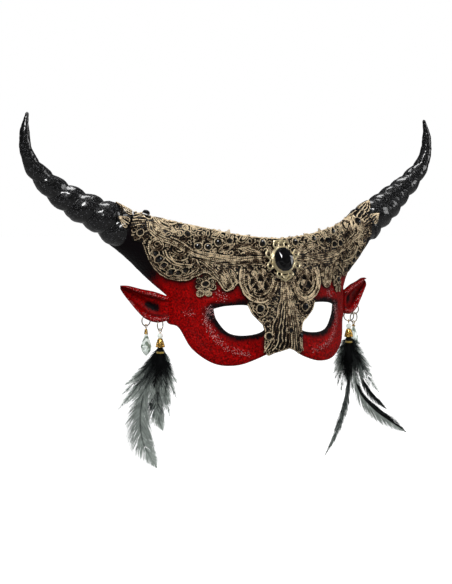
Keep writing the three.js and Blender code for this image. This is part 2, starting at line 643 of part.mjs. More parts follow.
function buildEarrings() {
  const outerLeft = holePoint(HOLES.outerLeft, -1);
  hangRing('ring_outer_left', hangingPoint(outerLeft, YAW.outerLeft));
  hangCrystal('left', ringFoot(outerLeft), YAW.outerLeft);
  const innerLeft = holePoint(HOLES.innerLeft, -1);
  hangRing('ring_inner_left', hangingPoint(innerLeft, YAW.innerLeft));
  hangTassel('left', ringFoot(innerLeft), YAW.innerLeft, TASSEL_LEFT);
  const outerRight = holePoint(HOLES.outerRight, 1);
  hangRing('ring_outer_right', hangingPoint(outerRight, YAW.outerRight));
  const linkRight = ringFoot(outerRight);
  hangRing('ring_link_right', hangingPoint(linkRight, YAW.linkRight));
  hangCrystal('right', ringFoot(linkRight), YAW.linkRight);
  const innerRight = holePoint(HOLES.innerRight, 1);
  hangRing('ring_inner_right', hangingPoint(innerRight, YAW.innerRight));
  hangTassel('right', ringFoot(innerRight), YAW.innerRight, TASSEL_RIGHT);
}

buildShell();
buildLace();
buildFlower(1, 'lace_flower_right');
buildFlower(-1, 'lace_flower_left');
buildHorns();
buildEars();
buildStones();
buildBrooch();
buildEarrings();

export default mask;
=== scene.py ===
"""The looks of the horned half mask: shell, horns, ears, corded lace, stones, brooch and feather earrings.

Lengths are millimetres in the mask's frame until a mesh is made, when MM turns them into metres.
The mask faces -Y, +X is the viewer's right and +Z is up.
"""
import math

import bpy
import numpy as np
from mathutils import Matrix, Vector, geometry, noise


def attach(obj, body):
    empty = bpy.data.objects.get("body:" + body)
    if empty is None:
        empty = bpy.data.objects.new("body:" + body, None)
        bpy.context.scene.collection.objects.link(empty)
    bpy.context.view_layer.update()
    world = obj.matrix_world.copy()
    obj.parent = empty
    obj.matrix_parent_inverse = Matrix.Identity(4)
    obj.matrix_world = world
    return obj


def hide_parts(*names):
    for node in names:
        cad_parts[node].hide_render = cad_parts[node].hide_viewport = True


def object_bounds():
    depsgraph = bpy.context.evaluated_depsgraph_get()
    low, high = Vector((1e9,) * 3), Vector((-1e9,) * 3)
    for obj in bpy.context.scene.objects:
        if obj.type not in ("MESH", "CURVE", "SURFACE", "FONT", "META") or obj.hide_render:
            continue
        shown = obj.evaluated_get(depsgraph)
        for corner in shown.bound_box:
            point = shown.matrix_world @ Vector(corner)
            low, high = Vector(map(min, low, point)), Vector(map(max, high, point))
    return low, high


MM = 0.001
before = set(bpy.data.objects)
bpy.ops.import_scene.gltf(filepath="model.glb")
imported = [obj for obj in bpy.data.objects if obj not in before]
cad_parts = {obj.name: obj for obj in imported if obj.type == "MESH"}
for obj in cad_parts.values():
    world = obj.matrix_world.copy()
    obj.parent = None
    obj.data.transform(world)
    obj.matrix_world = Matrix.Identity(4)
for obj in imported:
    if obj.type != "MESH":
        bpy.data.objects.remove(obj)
CAD_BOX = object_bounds()

# ---- the mask's driving sizes ---------------------------------------------------------------------------

THICKNESS = 2.6
EDGE_ROLL, EDGE_ROLL_WIDTH = 1.5, 5
ARM_ROLL, ARM_ROLL_WIDTH, ARM_ROLL_REACH = 14.5, 15, 22
CLEARANCE = 0.35

TOP_EDGE = [(0, 52), (30, 54.8), (62, 61.6), (88, 67.8), (105, 73.6)]
ARM_UNDERSIDE = [(121, 48.4), (100, 29), (87, 14), (81.7, 8)]
CHEEK_EDGE = [(81.7, 8), (81.7, -13), (75.5, -17.5), (68.5, -34), (54.5, -45.3), (38, -47), (22, -42.5),
              (9, -36), (0, -32.3)]
EYE = [(54.5, -2), (46, 0.3), (30, 0.6), (21, -5), (15, -15.5), (20, -21.3), (34, -23.2), (45, -20.4),
       (52.5, -10.5), (54.5, -2)]
LACE_SPLIT = [(0, 22), (12, 15), (20, 8.4), (29.6, 5)]
LACE_BROW_HEM = [(33.5, 10.5), (37, 18.5), (42, 13), (48, 13), (52, 20), (59.5, 26.3), (67, 22.5), (73, 20),
                 (82, 21.5), (91, 28.5), (99, 40), (103.5, 50), (114, 54.5)]
LACE_NOSE_EDGE = [(30.6, 2.4), (27.5, -5), (22.5, -10.5), (18, -15), (16.3, -22), (17, -33), (13.8, -39),
                  (7, -36), (0, -33.2)]
FLOWER = (59.5, 18)

HORN_PATH = [(113.6, 68.5, 61.4), (127, 70, 70), (140, 75, 76.5), (154, 80.5, 85.5), (169, 82, 97),
             (182, 82, 111.5), (187, 82, 124), (187.5, 82, 140), (185, 83, 152.6)]
HORN_RADII = [15, 13.2, 12, 10.6, 8.8, 7, 5.2, 3.9, 1]
HORN_TURNS = 8

EAR_ROOT, EAR_OUTWARD = (83.7, 46.3), (0.853, 0.523)
EAR_TOP = [(0, 7.6), (9, 10.8), (20, 13), (30, 15.4), (36.5, 15.6)]
EAR_LOW = [(0, -12.6), (6, -13.8), (13, -12.4), (20, -7.8), (31, 5.2), (36.5, 12.8)]
EAR_THICKNESS, EAR_CUP, EAR_REACH = 2.4, 5.5, 36.5
HOLES = {"outer_left": (16, -8.3), "inner_left": (4.6, -11.7), "outer_right": (18.6, -6.4),
         "inner_right": (8.2, -11.5)}
YAW = {"outer_left": 0.235, "inner_left": 0.585, "outer_right": -0.56, "link_right": 0.26,
       "inner_right": -0.7}

RING_RADIUS, RING_WIRE = 4.15, 0.45
EYELET_RADIUS, EYELET_WIRE = 1.4, 0.3
LINK_DROP = 2 * RING_RADIUS - 2 * RING_WIRE - CLEARANCE
TASSEL_PLANE = -0.471

SIDES = {"right": 1, "left": -1}
HORN_STONES = {"right": (90.5, 63.5), "left": (-97.2, 70.6)}
HORN_STONE_RADII = {"right": 3, "left": 3.1}
NOSE_CENTRE = (0.3, -19, 2)
HORN_LEAVES = {"upper": ((-2.5, 14.4), (13.5, 17.5), 5), "lower": ((-2.5, 3), (9.6, 3.5), 3.7)}
EXTRA_RADIUS = 1.9
EXTRA_STONES = {1: [(55.5, 57.5), (42.5, 50.5), (33.6, 52.2), (97.3, 48.3), (86.5, 33), (72.5, 25.4)],
                -1: [(71.6, 57), (41, 51.4), (87, 33), (76.5, 27), (72.4, 28.6), (94.2, 42.3), (104.6, 58.2)]}
STONES = {"nose_stone": (20, -1.7, 2.7), "nose_low_stone": (13.3, -24, 2.4),
          "brow_top_stone": (14.6, 49.5, 2.1), "flower_stone": (59.5, 18, 2.0),
          "row_stone_1": (64.5, 47.5, 2.2), "row_stone_2": (57, 47, 2.2), "row_stone_3": (49.5, 50.5, 2.2),
          "crescent_stone_1": (91, 38, 2.3), "crescent_stone_2": (81, 27.5, 2.3)}


# ---- lines and surfaces ---------------------------------------------------------------------------------

def unit(vectors):
    return vectors / np.maximum(np.linalg.norm(vectors, axis=-1, keepdims=True), 1e-9)


def smoothstep(value, low, high):
    t = np.clip((value - low) / (high - low), 0, 1)
    return t * t * (3 - 2 * t)


def lerp(start, end, share):
    return start + (end - start) * share


def swell(value, middle, width, power=2):
    """A smooth hump of height 1."""
    return np.exp(-((value - middle) / width) ** power)


def smooth_line(points, count):
    """A line through the points, in even steps of the curve's own parameter."""
    p = np.array(points, float)
    t = np.linspace(0, len(p) - 1, count + 1)
    i = np.minimum(t.astype(int), len(p) - 2)
    w = (t - i)[:, None]
    before, start, end, after = p[np.maximum(i - 1, 0)], p[i], p[i + 1], p[np.minimum(i + 2, len(p) - 1)]
    leave, arrive = (end - before) / 2, (after - start) / 2
    cubic = (2 * start - 2 * end + leave + arrive) * w ** 3
    return cubic + (3 * end - 3 * start - 2 * leave - arrive) * w ** 2 + leave * w + start


def resampled(line, step, closed=False):
    """The same line with points about a step apart."""
    line = np.asarray(line, float)
    if closed:
        line = np.vstack([line, line[:1]])
    reach = np.concatenate([[0], np.cumsum(np.linalg.norm(np.diff(line, axis=0), axis=1))])
    count = max(2, int(round(reach[-1] / step)))
    places = np.linspace(0, reach[-1], count + 1)
    result = np.stack([np.interp(places, reach, line[:, k]) for k in range(line.shape[1])], 1)
    return result[:-1] if closed else result


def mirrored(line):
    flipped = np.array(line, float)
    flipped[:, 0] *= -1
    return flipped


def line_distance(points, line, closed=False):
    """How far each point in X and Z is from a line."""
    line = np.asarray(line, float)
    ends = np.vstack([line, line[:1]]) if closed else line
    best = np.full(len(points), np.inf)
    for start, end in zip(ends[:-1], ends[1:]):
        along = end - start
        share = np.clip((points - start) @ along / max(along @ along, 1e-9), 0, 1)
        best = np.minimum(best, np.linalg.norm(points - start - share[:, None] * along, axis=1))
    return best


def inside(points, loop):
    """Which points in X and Z a closed loop holds."""
    loop = np.asarray(loop, float)
    held = np.zeros(len(points), bool)
    x, z = points[:, 0], points[:, 1]
    for (x0, z0), (x1, z1) in zip(loop, np.roll(loop, -1, axis=0)):
        spans = (z0 > z) != (z1 > z)
        crossing = x0 + (x1 - x0) * (z - z0) / (z1 - z0 if z1 != z0 else 1)
        held ^= spans & (x < crossing)
    return held


TOP_LINE = smooth_line(TOP_EDGE, 40)


def half_outline(arm_reach=0.0):
    """The right half of the mask's edge, with its arm drawn out by arm_reach past the horn."""
    top, low = np.array(TOP_EDGE[-1], float), np.array(ARM_UNDERSIDE[0], float)
    away = unit(low - top)
    outward = np.array([-away[1], away[0]]) * arm_reach
    corners = [top + outward, low + outward] if arm_reach else np.zeros((0, 2))
    parts = [TOP_LINE, corners, smooth_line(ARM_UNDERSIDE, 24), smooth_line(CHEEK_EDGE, 88)[1:]]
    return np.vstack([part for part in parts if len(part)])


HALF = half_outline()
ROLL_LINE = half_outline(ARM_ROLL_REACH)
OUTLINE = np.vstack([HALF, mirrored(HALF)[::-1][1:-1]])
EYE_LOOP = smooth_line(EYE, 108)[:-1]


def sheet_depth(x, z):
    """How far back the front of the mask lies, before its edges roll over."""
    across = np.abs(x)
    cheek = 1 - 0.15 * (1 - smoothstep(z, -40, -8))
    face = 6 + 41 * cheek * (np.minimum(across, 82) / 82) ** 2.9 + 0.7 * np.maximum(0, across - 82)
    brow = 12 + 38 * (across / 108) ** 1.8
    nose_width = lerp(8, 12, 1 - smoothstep(z, -33, 20))
    nose = 11.8 * (1 - smoothstep(z, -24, 41)) * np.exp(-(across / nose_width) ** 2)
    return lerp(face, brow, smoothstep(z, 11, 46)) - nose


def rolled_depth(points):
    """The front of the shell, with its edges rolled back; towards the horns the roll makes a half tube."""
    x, z = points[:, 0], points[:, 1]
    arm = smoothstep(x, 55, 95) * smoothstep(z, 5, 30)
    roll = lerp(EDGE_ROLL, ARM_ROLL, arm)
    width = lerp(EDGE_ROLL_WIDTH, ARM_ROLL_WIDTH, arm)
    inset = np.where(inside(points, ROLL_LINE), line_distance(points, ROLL_LINE), 0)
    over = np.maximum(0, 1 - inset / width)
    return sheet_depth(x, z) + roll * (1 - np.sqrt(1 - over * over))


class DepthTable:
    """The shell's depth worked out once on a fine grid over one half of the mask."""

    step, low, size = 0.5, np.array([0.0, -60.0]), (270, 290)

    def __init__(self):
        i, j = np.meshgrid(np.arange(self.size[0]), np.arange(self.size[1]), indexing="ij")
        cells = np.stack([i, j], -1).reshape(-1, 2) * self.step + self.low
        self.depth = rolled_depth(cells).reshape(self.size)

    def __call__(self, points):
        points = np.asarray(points, float)
        place = (np.stack([np.abs(points[:, 0]), points[:, 1]], 1) - self.low) / self.step
        place = np.clip(place, 0, np.array(self.size) - 1.001)
        i, j = place.astype(int).T
        u, w = (place - np.stack([i, j], 1)).T
        near = lerp(self.depth[i, j], self.depth[i + 1, j], u)
        far = lerp(self.depth[i, j + 1], self.depth[i + 1, j + 1], u)
        return lerp(near, far, w)


front_depth = DepthTable()


def on_shell(points):
    points = np.asarray(points, float)
    return np.stack([points[:, 0], front_depth(points), points[:, 1]], 1)


def surface_normals(surface, points):
    """The outward normals of a surface whose outside is the cross product of its first and second way."""
    reach = 0.5
    first = surface(points + [reach, 0]) - surface(points - [reach, 0])
    second = surface(points + [0, reach]) - surface(points - [0, reach])
    return unit(np.cross(first, second))


# ---- the horns' own surface -----------------------------------------------------------------------------

def centripetal(points, per_span=120):
    """A dense line along the centripetal Catmull-Rom curve through the points."""
    p = np.array(points, float)
    p = np.vstack([2 * p[0] - p[1], p, 2 * p[-1] - p[-2]])
    t = np.linspace(0, 1, per_span, endpoint=False)[:, None]
    spans = []
    for a, b, c, d in zip(p, p[1:], p[2:], p[3:]):
        d0, d1, d2 = (np.linalg.norm(v) ** 0.5 for v in (b - a, c - b, d - c))
        leave = ((b - a) / d0 - (c - a) / (d0 + d1) + (c - b) / d1) * d1
        arrive = ((c - b) / d1 - (d - b) / (d1 + d2) + (d - c) / d2) * d1
        cubic = (2 * b - 2 * c + leave + arrive) * t ** 3 + (3 * c - 3 * b - 2 * leave - arrive) * t ** 2
        spans.append(cubic + leave * t + b)
    return np.vstack(spans + [p[-2][None, :]])


HORN_LINE = resampled(centripetal(HORN_PATH), 0.1)
HORN_LENGTH = float(np.linalg.norm(np.diff(HORN_LINE, axis=0), axis=1).sum())
HORN_TANGENTS = unit(np.gradient(HORN_LINE, axis=0))


def along_horn(table, t):
    places = np.linspace(0, 1, len(table))
    return np.stack([np.interp(t, places, table[:, k]) for k in range(3)], 1)


def horn_radius(t):
    return np.interp(t, np.linspace(0, 1, len(HORN_RADII)), HORN_RADII)


def horn_point(t, angle, distance):
    """Points at a share of the horn's length, an angle round it and a distance from its middle line."""
    tangent = unit(along_horn(HORN_TANGENTS, t))
    front = unit(np.array([0.0, -1.0, 0.0]) + tangent * tangent[:, 1:2])
    up = np.cross(front, tangent)
    ring = np.cos(angle)[:, None] * front + np.sin(angle)[:, None] * up
    return along_horn(HORN_LINE, t) + ring * distance[:, None]


def horn_ridge(t, angle):
    """Rounded swellings with narrow grooves between them, wound round the horn and fading to a smooth tip."""
    ribbed = 1 - smoothstep(t, 0.62, 0.8)
    swelling = np.abs(np.cos(math.pi * HORN_TURNS * t + angle / 2)) ** 0.8
    return 1 + 0.1 * ribbed * (2 * swelling - 1)


def on_horn(points):
    """The horn's skin at a distance along it and a distance round it from the front."""
    points = np.asarray(points, float)
    t = np.clip(points[:, 0] / HORN_LENGTH, 0, 1)
    radius = horn_radius(t)
    angle = points[:, 1] / np.maximum(radius, 1)
    return horn_point(t, angle, radius * 1.1)


# ---- meshes as they grow --------------------------------------------------------------------------------

class Pile:
    """The points, faces and values of one mesh."""

    def __init__(self):
        self.points, self.faces, self.values, self.kinds, self.count = [], [], {}, [], 0

    def add(self, points, faces, kind=0, **values):
        points = np.asarray(points, float).reshape(-1, 3)
        for key in values:
            self.values.setdefault(key, [np.zeros(self.count)])
        for key, column in self.values.items():
            column.append(np.broadcast_to(np.asarray(values.get(key, 0.0), float).reshape(-1), len(points)))
        for block in faces:
            self.faces += (np.asarray(block) + self.count).tolist()
            self.kinds += [kind] * len(block)
        self.points.append(points)
        self.count += len(points)

    def mirror(self):
        self.points = [block * [-1, 1, 1] for block in self.points]
        self.faces = [face[::-1] for face in self.faces]
        return self


def grid_faces(rows, columns, wrap_rows=False, wrap_columns=True):
    """Quads between the points of a grid of rows by columns."""
    row = np.arange(rows if wrap_rows else rows - 1)
    column = np.arange(columns if wrap_columns else columns - 1)
    i, j = (block.ravel() for block in np.meshgrid(row, column, indexing="ij"))
    i2, j2 = (i + 1) % rows, (j + 1) % columns
    return np.stack([i * columns + j, i * columns + j2, i2 * columns + j2, i2 * columns + j], 1)


def grid_ends(rows, columns):
    """The first and the last row of a grid, each as one face."""
    row = np.arange(columns)
    return [[row[::-1]], [row + (rows - 1) * columns]]


TWIST_LENGTH = 1.5


def tube(pile, centre, normal, radius, closed=False, sides=6, flat=1.0, **values):
    """A cord along a line of points. The seam of its twist is on the side away from the normals."""
    centre = np.asarray(centre, float)
    count = len(centre)
    ahead = np.roll(centre, -1, 0) - np.roll(centre, 1, 0) if closed else np.gradient(centre, axis=0)
    tangent = unit(ahead)
    side = unit(np.cross(tangent, np.broadcast_to(normal, centre.shape)))
    up = np.cross(side, tangent)
    turn = math.pi + 2 * math.pi * np.arange(sides) / sides
    radius = np.broadcast_to(np.asarray(radius, float), count)
    ring = np.cos(turn)[None, :, None] * up[:, None] * flat + np.sin(turn)[None, :, None] * side[:, None]
    points = centre[:, None] + ring * radius[:, None, None]
    faces = [grid_faces(count, sides, wrap_rows=closed)] + ([] if closed else grid_ends(count, sides))
    reach = np.concatenate([[0], np.cumsum(np.linalg.norm(np.diff(centre, axis=0), axis=1))])
    twist = reach[:, None] / TWIST_LENGTH + np.arange(sides)[None, :] / sides
    relief = np.broadcast_to(0.5 + 0.5 * np.cos(turn), (count, sides))
    pile.add(points, faces, relief=relief, twist=twist, **values)


def lay(pile, path, surface, radius=0.65, lift=0.3, closed=False, flat=0.9, sides=6, step=0.9, **values):
    """A cord laid along a path on a surface."""
    path = resampled(path, step, closed)
    normal = surface_normals(surface, path)
    tube(pile, surface(path) + normal * lift, normal, radius, closed, sides, flat, **values)


def strands(pile, lines, wide, thickness, flat, tint):
    """Many fine strands at once: lines is strands by points by 3, the other two strands by points."""
    sides = 4
    count, steps = lines.shape[:2]
    tangent = unit(np.gradient(lines, axis=1))
    across = unit(wide - tangent * np.sum(wide * tangent, -1, keepdims=True))
    thin = np.cross(tangent, across)
    turn = 2 * math.pi * np.arange(sides) / sides
    ring = np.cos(turn)[:, None] * across[:, :, None] + np.sin(turn)[:, None] * thin[:, :, None] * flat
    points = lines[:, :, None] + ring * thickness[:, :, None, None]
    blocks = grid_faces(steps, sides)[:, ::-1], np.array(grid_ends(steps, sides))[:, 0]
    first = (np.arange(count) * steps * sides)[:, None, None]
    faces = [(block + first).reshape(-1, 4) for block in blocks]
    pile.add(points, faces, tint=np.repeat(tint[:, :, None], sides, 2))


def add_to_scene(name, data):
    thing = bpy.data.objects.new(name, data)
    bpy.context.scene.collection.objects.link(thing)
    return thing


def make_piece(name, pile, materials, body, nodes=(), smooth=True):
    mesh = bpy.data.meshes.new(name)
    mesh.from_pydata((np.vstack(pile.points) * MM).tolist(), [], pile.faces)
    for key, column in pile.values.items():
        layer = mesh.attributes.new(key, "FLOAT", "POINT")
        layer.data.foreach_set("value", np.concatenate(column).astype(np.float32))
    mesh.polygons.foreach_set("use_smooth", [smooth] * len(mesh.polygons))
    for material in materials:
        mesh.materials.append(material)
    mesh.polygons.foreach_set("material_index", pile.kinds)
    mesh.update()
    piece = add_to_scene(name, mesh)
    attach(piece, body)
    if nodes:
        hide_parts(*nodes)


# ---- materials ------------------------------------------------------------------------------------------

class Finish:
    """A material and short calls for the nodes that make its colour and surface."""

    def __init__(self, name, **sockets):
        self.material = bpy.data.materials.new(name)
        self.material.use_nodes = True
        self.tree = self.material.node_tree
        self.shader = self.tree.nodes["Principled BSDF"]
        for socket, value in sockets.items():
            self.shader.inputs[socket.replace("_", " ")].default_value = value
        self.place = self.node("ShaderNodeTexCoord").outputs["Object"]

    def node(self, kind, **settings):
        node = self.tree.nodes.new(kind)
        for key, value in settings.items():
            setattr(node, key, value)
        return node

    def link(self, value, socket):
        if isinstance(value, (int, float, tuple)):
            socket.default_value = value
        else:
            self.tree.links.new(value, socket)

    def set(self, socket, value):
        self.link(value, self.shader.inputs[socket])

    def value(self, name):
        return self.node("ShaderNodeAttribute", attribute_name=name).outputs["Fac"]

    def noise(self, size, detail=2.0, rough=0.5, stretch=None):
        """Soft noise whose features are about size millimetres across."""
        node = self.node("ShaderNodeTexNoise")
        node.inputs["Scale"].default_value = 1 / (size * MM)
        node.inputs["Detail"].default_value = detail
        node.inputs["Roughness"].default_value = rough
        place = self.place
        if stretch:
            mapping = self.node("ShaderNodeMapping")
            mapping.inputs["Scale"].default_value = stretch
            self.link(place, mapping.inputs["Vector"])
            place = mapping.outputs["Vector"]
        self.link(place, node.inputs["Vector"])
        return node.outputs["Fac"]

    def flakes(self, size):
        """A different random value for each small cell."""
        node = self.node("ShaderNodeTexVoronoi")
        node.inputs["Scale"].default_value = 1 / (size * MM)
        self.link(self.place, node.inputs["Vector"])
        split = self.node("ShaderNodeSeparateColor")
        self.link(node.outputs["Color"], split.inputs["Color"])
        return split.outputs["Red"]

    def math(self, operation, first, second=0.0):
        node = self.node("ShaderNodeMath", operation=operation)
        self.link(first, node.inputs[0])
        self.link(second, node.inputs[1])
        return node.outputs[0]

    def times(self, value, factor):
        return self.math("MULTIPLY", value, factor)

    def total(self, first, *others):
        for other in others:
            first = self.math("ADD", first, other)
        return first

    def centred(self, value, amount):
        """A value from 0 to 1 made to swing about zero, over a range of amount."""
        return self.times(self.math("SUBTRACT", value, 0.5), amount)

    def ramp(self, value, *stops):
        """Colours or grey levels at places from 0 to 1."""
        node = self.node("ShaderNodeValToRGB")
        elements = node.color_ramp.elements
        while len(elements) < len(stops):
            elements.new(0.5)
        for element, (place, colour) in zip(elements, stops):
            element.position = place
            level = colour if isinstance(colour, tuple) else (colour,) * 3
            element.color = (*level, 1)
        self.link(value, node.inputs["Fac"])
        return node.outputs["Color"]

    def mix(self, share, first, second):
        node = self.node("ShaderNodeMix", data_type="RGBA")
        self.link(share, node.inputs["Factor"])
        for value, socket in ((first, node.inputs[6]), (second, node.inputs[7])):
            self.link((*value, 1) if isinstance(value, tuple) else value, socket)
        return node.outputs[2]

    def bump(self, height, depth, strength=1.0):
        """A bump whose full height is depth millimetres."""
        node = self.node("ShaderNodeBump")
        node.inputs["Distance"].default_value = depth * MM
        node.inputs["Strength"].default_value = strength
        self.link(height, node.inputs["Height"])
        self.link(node.outputs["Normal"], self.shader.inputs["Normal"])


def shell_finish():
    f = Finish("crimson_glitter_paint", Roughness=0.42, Specular_IOR_Level=0.08)
    pebbles = f.noise(1.5, 4, 0.7)
    clouds = f.noise(7, 3, 0.6)
    red = f.ramp(pebbles, (0.38, (0.07, 0.0002, 0.0003)), (0.52, (0.36, 0.0004, 0.0006)),
                 (0.68, (0.72, 0.003, 0.003)))
    worn = f.total(f.value("shade"), f.centred(pebbles, 2.2), f.centred(clouds, 0.9))
    painted = f.mix(f.ramp(worn, (0.3, 0.0), (0.8, 1.0)), red, (0.004, 0.002, 0.003))
    # pale specks in the base colour: partly the glitter itself and partly painted glints on it
    specks = f.total(f.flakes(0.5), f.times(f.value("sparkle"), 0.3))
    glitter_and_painted_glints = f.times(f.math("GREATER_THAN", specks, 1.08), 0.8)
    f.set("Base Color", f.mix(glitter_and_painted_glints, painted, (0.75, 0.38, 0.38)))
    f.bump(f.total(pebbles, f.times(f.noise(2.4, 2), 1.2)), 0.5, 0.9)
    return f.material


def lining_finish():
    f = Finish("dark_paper_lining", Roughness=0.85)
    strips = f.noise(9, 4, 0.6, stretch=(1, 1, 2.5))
    f.set("Base Color", f.ramp(strips, (0.3, (0.02, 0.012, 0.011)), (0.7, (0.055, 0.03, 0.028))))
    f.bump(f.total(strips, f.times(f.noise(1.1, 2), 0.3)), 0.6)
    return f.material


def horn_finish():
    f = Finish("black_glitter_gloss", Coat_Weight=0.95, Coat_Roughness=0.14, Specular_IOR_Level=0.12)
    grain = f.noise(0.8, 3, 0.6)
    glint = f.math("GREATER_THAN", f.flakes(0.5), 0.95)
    f.set("Base Color", f.mix(glint, (0.003, 0.003, 0.0035), (0.14, 0.14, 0.15)))
    f.set("Roughness", f.ramp(f.noise(7, 2), (0.35, 0.16), (0.65, 0.36)))
    f.bump(f.total(f.times(grain, 1.3), f.noise(2.2, 2)), 0.42, 0.9)
    return f.material


def lace_finish():
    f = Finish("antiqued_gold_lace_with_painted_light", Metallic=0.35, Roughness=0.4, Specular_IOR_Level=0.3)
    stitches = f.math("SINE", f.times(f.value("twist"), 2 * math.pi))
    # the colour follows each cord's relief and its per-cord value: partly the rubbed antique finish, partly
    # painted shade at the cords' feet and on the dark ground, and a painted highlight on their tops and near
    # the mask's top edge
    height = f.total(f.value("relief"), f.centred(f.noise(4, 3, 0.65), 1.9), f.centred(f.noise(16, 2), 0.5),
                     f.centred(f.noise(1.1, 2, 0.7), 0.9), f.times(stitches, 0.13), f.value("glow"))
    height = f.times(height, 0.88)
    colour = f.ramp(height, (0.34, (0.003, 0.0016, 0.001)), (0.56, (0.038, 0.021, 0.011)),
                    (0.78, (0.16, 0.096, 0.05)), (0.96, (1.0, 0.81, 0.54)))
    f.set("Base Color", colour)
    f.bump(f.total(stitches, f.noise(0.5, 2)), 0.22, 0.9)
    return f.material


def metal_finish(name, bright, dark, roughness, relief=False):
    """Tarnished metal, darker in its hollows where relief is asked for."""
    f = Finish(name, Metallic=1.0)
    tarnish = f.noise(1.6, 3, 0.6)
    height = f.total(f.value("relief"), f.centred(tarnish, 0.5)) if relief else tarnish
    f.set("Base Color", f.ramp(height, (0.25, dark), (0.65, bright)))
    f.set("Roughness", f.ramp(tarnish, (0.3, roughness), (0.7, roughness + 0.15)))
    f.bump(f.noise(0.4, 2), 0.05, 0.4)
    return f.material


def jet_finish():
    f = Finish("polished_jet", Coat_Weight=0.7, Coat_Roughness=0.03, Roughness=0.1, Specular_IOR_Level=0.2)
    f.set("Base Color", f.ramp(f.noise(3, 2), (0.4, (0.002, 0.002, 0.002)), (0.7, (0.006, 0.006, 0.007))))
    return f.material


def crystal_finish(name, tint):
    f = Finish(name, Transmission_Weight=0.2, Roughness=0.03, IOR=1.5)
    # patches of the tint are painted reflections across the facets; the same colour also glows faintly as
    # painted light
    colour_and_painted_reflections = f.ramp(f.noise(3, 1), (0.36, tint), (0.5, (0.93, 1.0, 0.95)))
    f.set("Base Color", colour_and_painted_reflections)
    f.set("Emission Color", colour_and_painted_reflections)
    f.set("Emission Strength", 0.16)
    return f.material


def thread_finish():
    f = Finish("yellow_thread", Roughness=0.6, Sheen_Weight=0.3)
    f.set("Base Color", f.ramp(f.noise(0.7, 2), (0.3, (0.5, 0.3, 0.03)), (0.7, (0.85, 0.62, 0.12))))
    f.bump(f.math("SINE", f.times(f.value("twist"), 6 * math.pi)), 0.1)
    return f.material


def feather_finish():
    f = Finish("black_and_grey_feather", Roughness=0.7, Specular_IOR_Level=0.1)
    shade = f.total(f.value("tint"), f.centred(f.noise(5, 2), 0.3))
    f.set("Base Color", f.ramp(shade, (0.14, (0.003, 0.0035, 0.004)), (0.5, (0.07, 0.082, 0.08)),
                               (0.95, (0.6, 0.67, 0.62))))
    return f.material


# ---- the shell ------------------------------------------------------------------------------------------

def triangulated(loops, rings, spacing):
    """Points and triangles that fill the first loop but not the others, with extra rings inside each edge."""
    edges_of = [resampled(loop, spacing * 0.8, closed=True) for loop in loops]
    low, high = edges_of[0].min(0), edges_of[0].max(0)
    rows = []
    for k, z in enumerate(np.arange(low[1], high[1], spacing * 0.866)):
        x = np.arange(low[0] + (k % 2) * spacing / 2, high[0], spacing)
        rows.append(np.stack([x, np.full(len(x), z)], 1))
    inner = np.vstack(rows)
    near = np.min([line_distance(inner, loop, True) for loop in edges_of], axis=0)
    inner = inner[(near > rings[-1] + 0.5 * spacing) & held_by(inner, edges_of)]
    parts = list(edges_of)
    for inset in rings:
        for loop in edges_of:
            side = unit(np.roll(loop, -1, 0) - np.roll(loop, 1, 0))[:, ::-1] * [1, -1]
            for way in (1, -1):
                ring = loop + side * inset * way
                gap = np.min([line_distance(ring, other, True) for other in edges_of], axis=0)
                parts.append(ring[(gap > inset * 0.93) & held_by(ring, edges_of)])
    parts.append(inner)
    points = np.vstack(parts)
    constraints, start = [], 0
    for loop in edges_of:
        count = len(loop)
        constraints += [(start + k, start + (k + 1) % count) for k in range(count)]
        start += count
    found = geometry.delaunay_2d_cdt([Vector(p) for p in points], constraints, [], 0, 1e-6)
    points = np.array([tuple(v) for v in found[0]])
    triangles = np.array([face for face in found[2]])
    triangles = triangles[held_by(points[triangles].mean(1), edges_of)]
    turned = points[triangles]
    area = np.cross(turned[:, 1] - turned[:, 0], turned[:, 2] - turned[:, 0])
    triangles[area < 0] = triangles[area < 0][:, ::-1]
    return points, triangles


def add_sheet(pile, front, back, triangles, back_kind=1, **values):
    """A closed sheet: its front and its walls take the first material, and its back that of back_kind."""
    sides = np.vstack([triangles[:, [0, 1]], triangles[:, [1, 2]], triangles[:, [2, 0]]])
    edges = {tuple(pair) for pair in sides.tolist()}
    walls = [(b, a, a + len(front), b + len(front)) for a, b in edges if (b, a) not in edges]
    count = pile.count
    pile.add(np.vstack([front, back]), [triangles, np.array(walls)], **values)
    pile.faces += (triangles[:, ::-1] + len(front) + count).tolist()
    pile.kinds += [back_kind] * len(triangles)


def held_by(points, loops):
    held = inside(points, loops[0])
    for hole in loops[1:]:
        held &= ~inside(points, hole)
    return held


def on_right(points):
    """The points, with those on the left side mirrored to the right."""
    return np.stack([np.abs(points[:, 0]), points[:, 1]], 1)


def cheek_ridge(points):
    """A soft crease from the outer corner of each eye down the cheek."""
    folded = on_right(points)
    crease = smooth_line([(60, 4), (61, -8), (56.5, -22), (47, -32), (33, -36.5)], 40)
    return 0.9 * swell(line_distance(folded, crease), 0, 3.2)


def roughened(points, size, depth):
    """Heights of soft noise at each point."""
    return np.array([noise.noise(Vector(p) / size) for p in points]) * depth


def shell_shade(points):
    """How black the paint is: round the eyes, under the lace, and out along the arms to the horns."""
    folded = on_right(points)
    outer_corner = swell(np.linalg.norm(folded - [57, -7], axis=1), 0, 8)
    inner_corner = swell(np.linalg.norm(folded - [24, 0], axis=1), 0, 12)
    shade = swell(line_distance(folded, EYE_LOOP, True), 0, 4.8 + 5 * outer_corner + 4.5 * inner_corner)
    loops = lace_loops()
    lace = np.min([line_distance(folded, loop, True) for loop in loops], axis=0)
    covered = np.any([inside(folded, loop) for loop in loops], axis=0)
    shade = np.maximum(shade, np.where(covered, 1, 0.9 * np.exp(-lace / 3.6)))
    arm = smoothstep(folded[:, 0], 76, 104) * smoothstep(folded[:, 1], 6, 24)
    rim = np.exp(-line_distance(folded, smooth_line(ARM_UNDERSIDE, 12)) / 3)
    return np.maximum(shade, np.maximum(1.35 * arm, 0.7 * rim * smoothstep(folded[:, 0], 80, 92)))


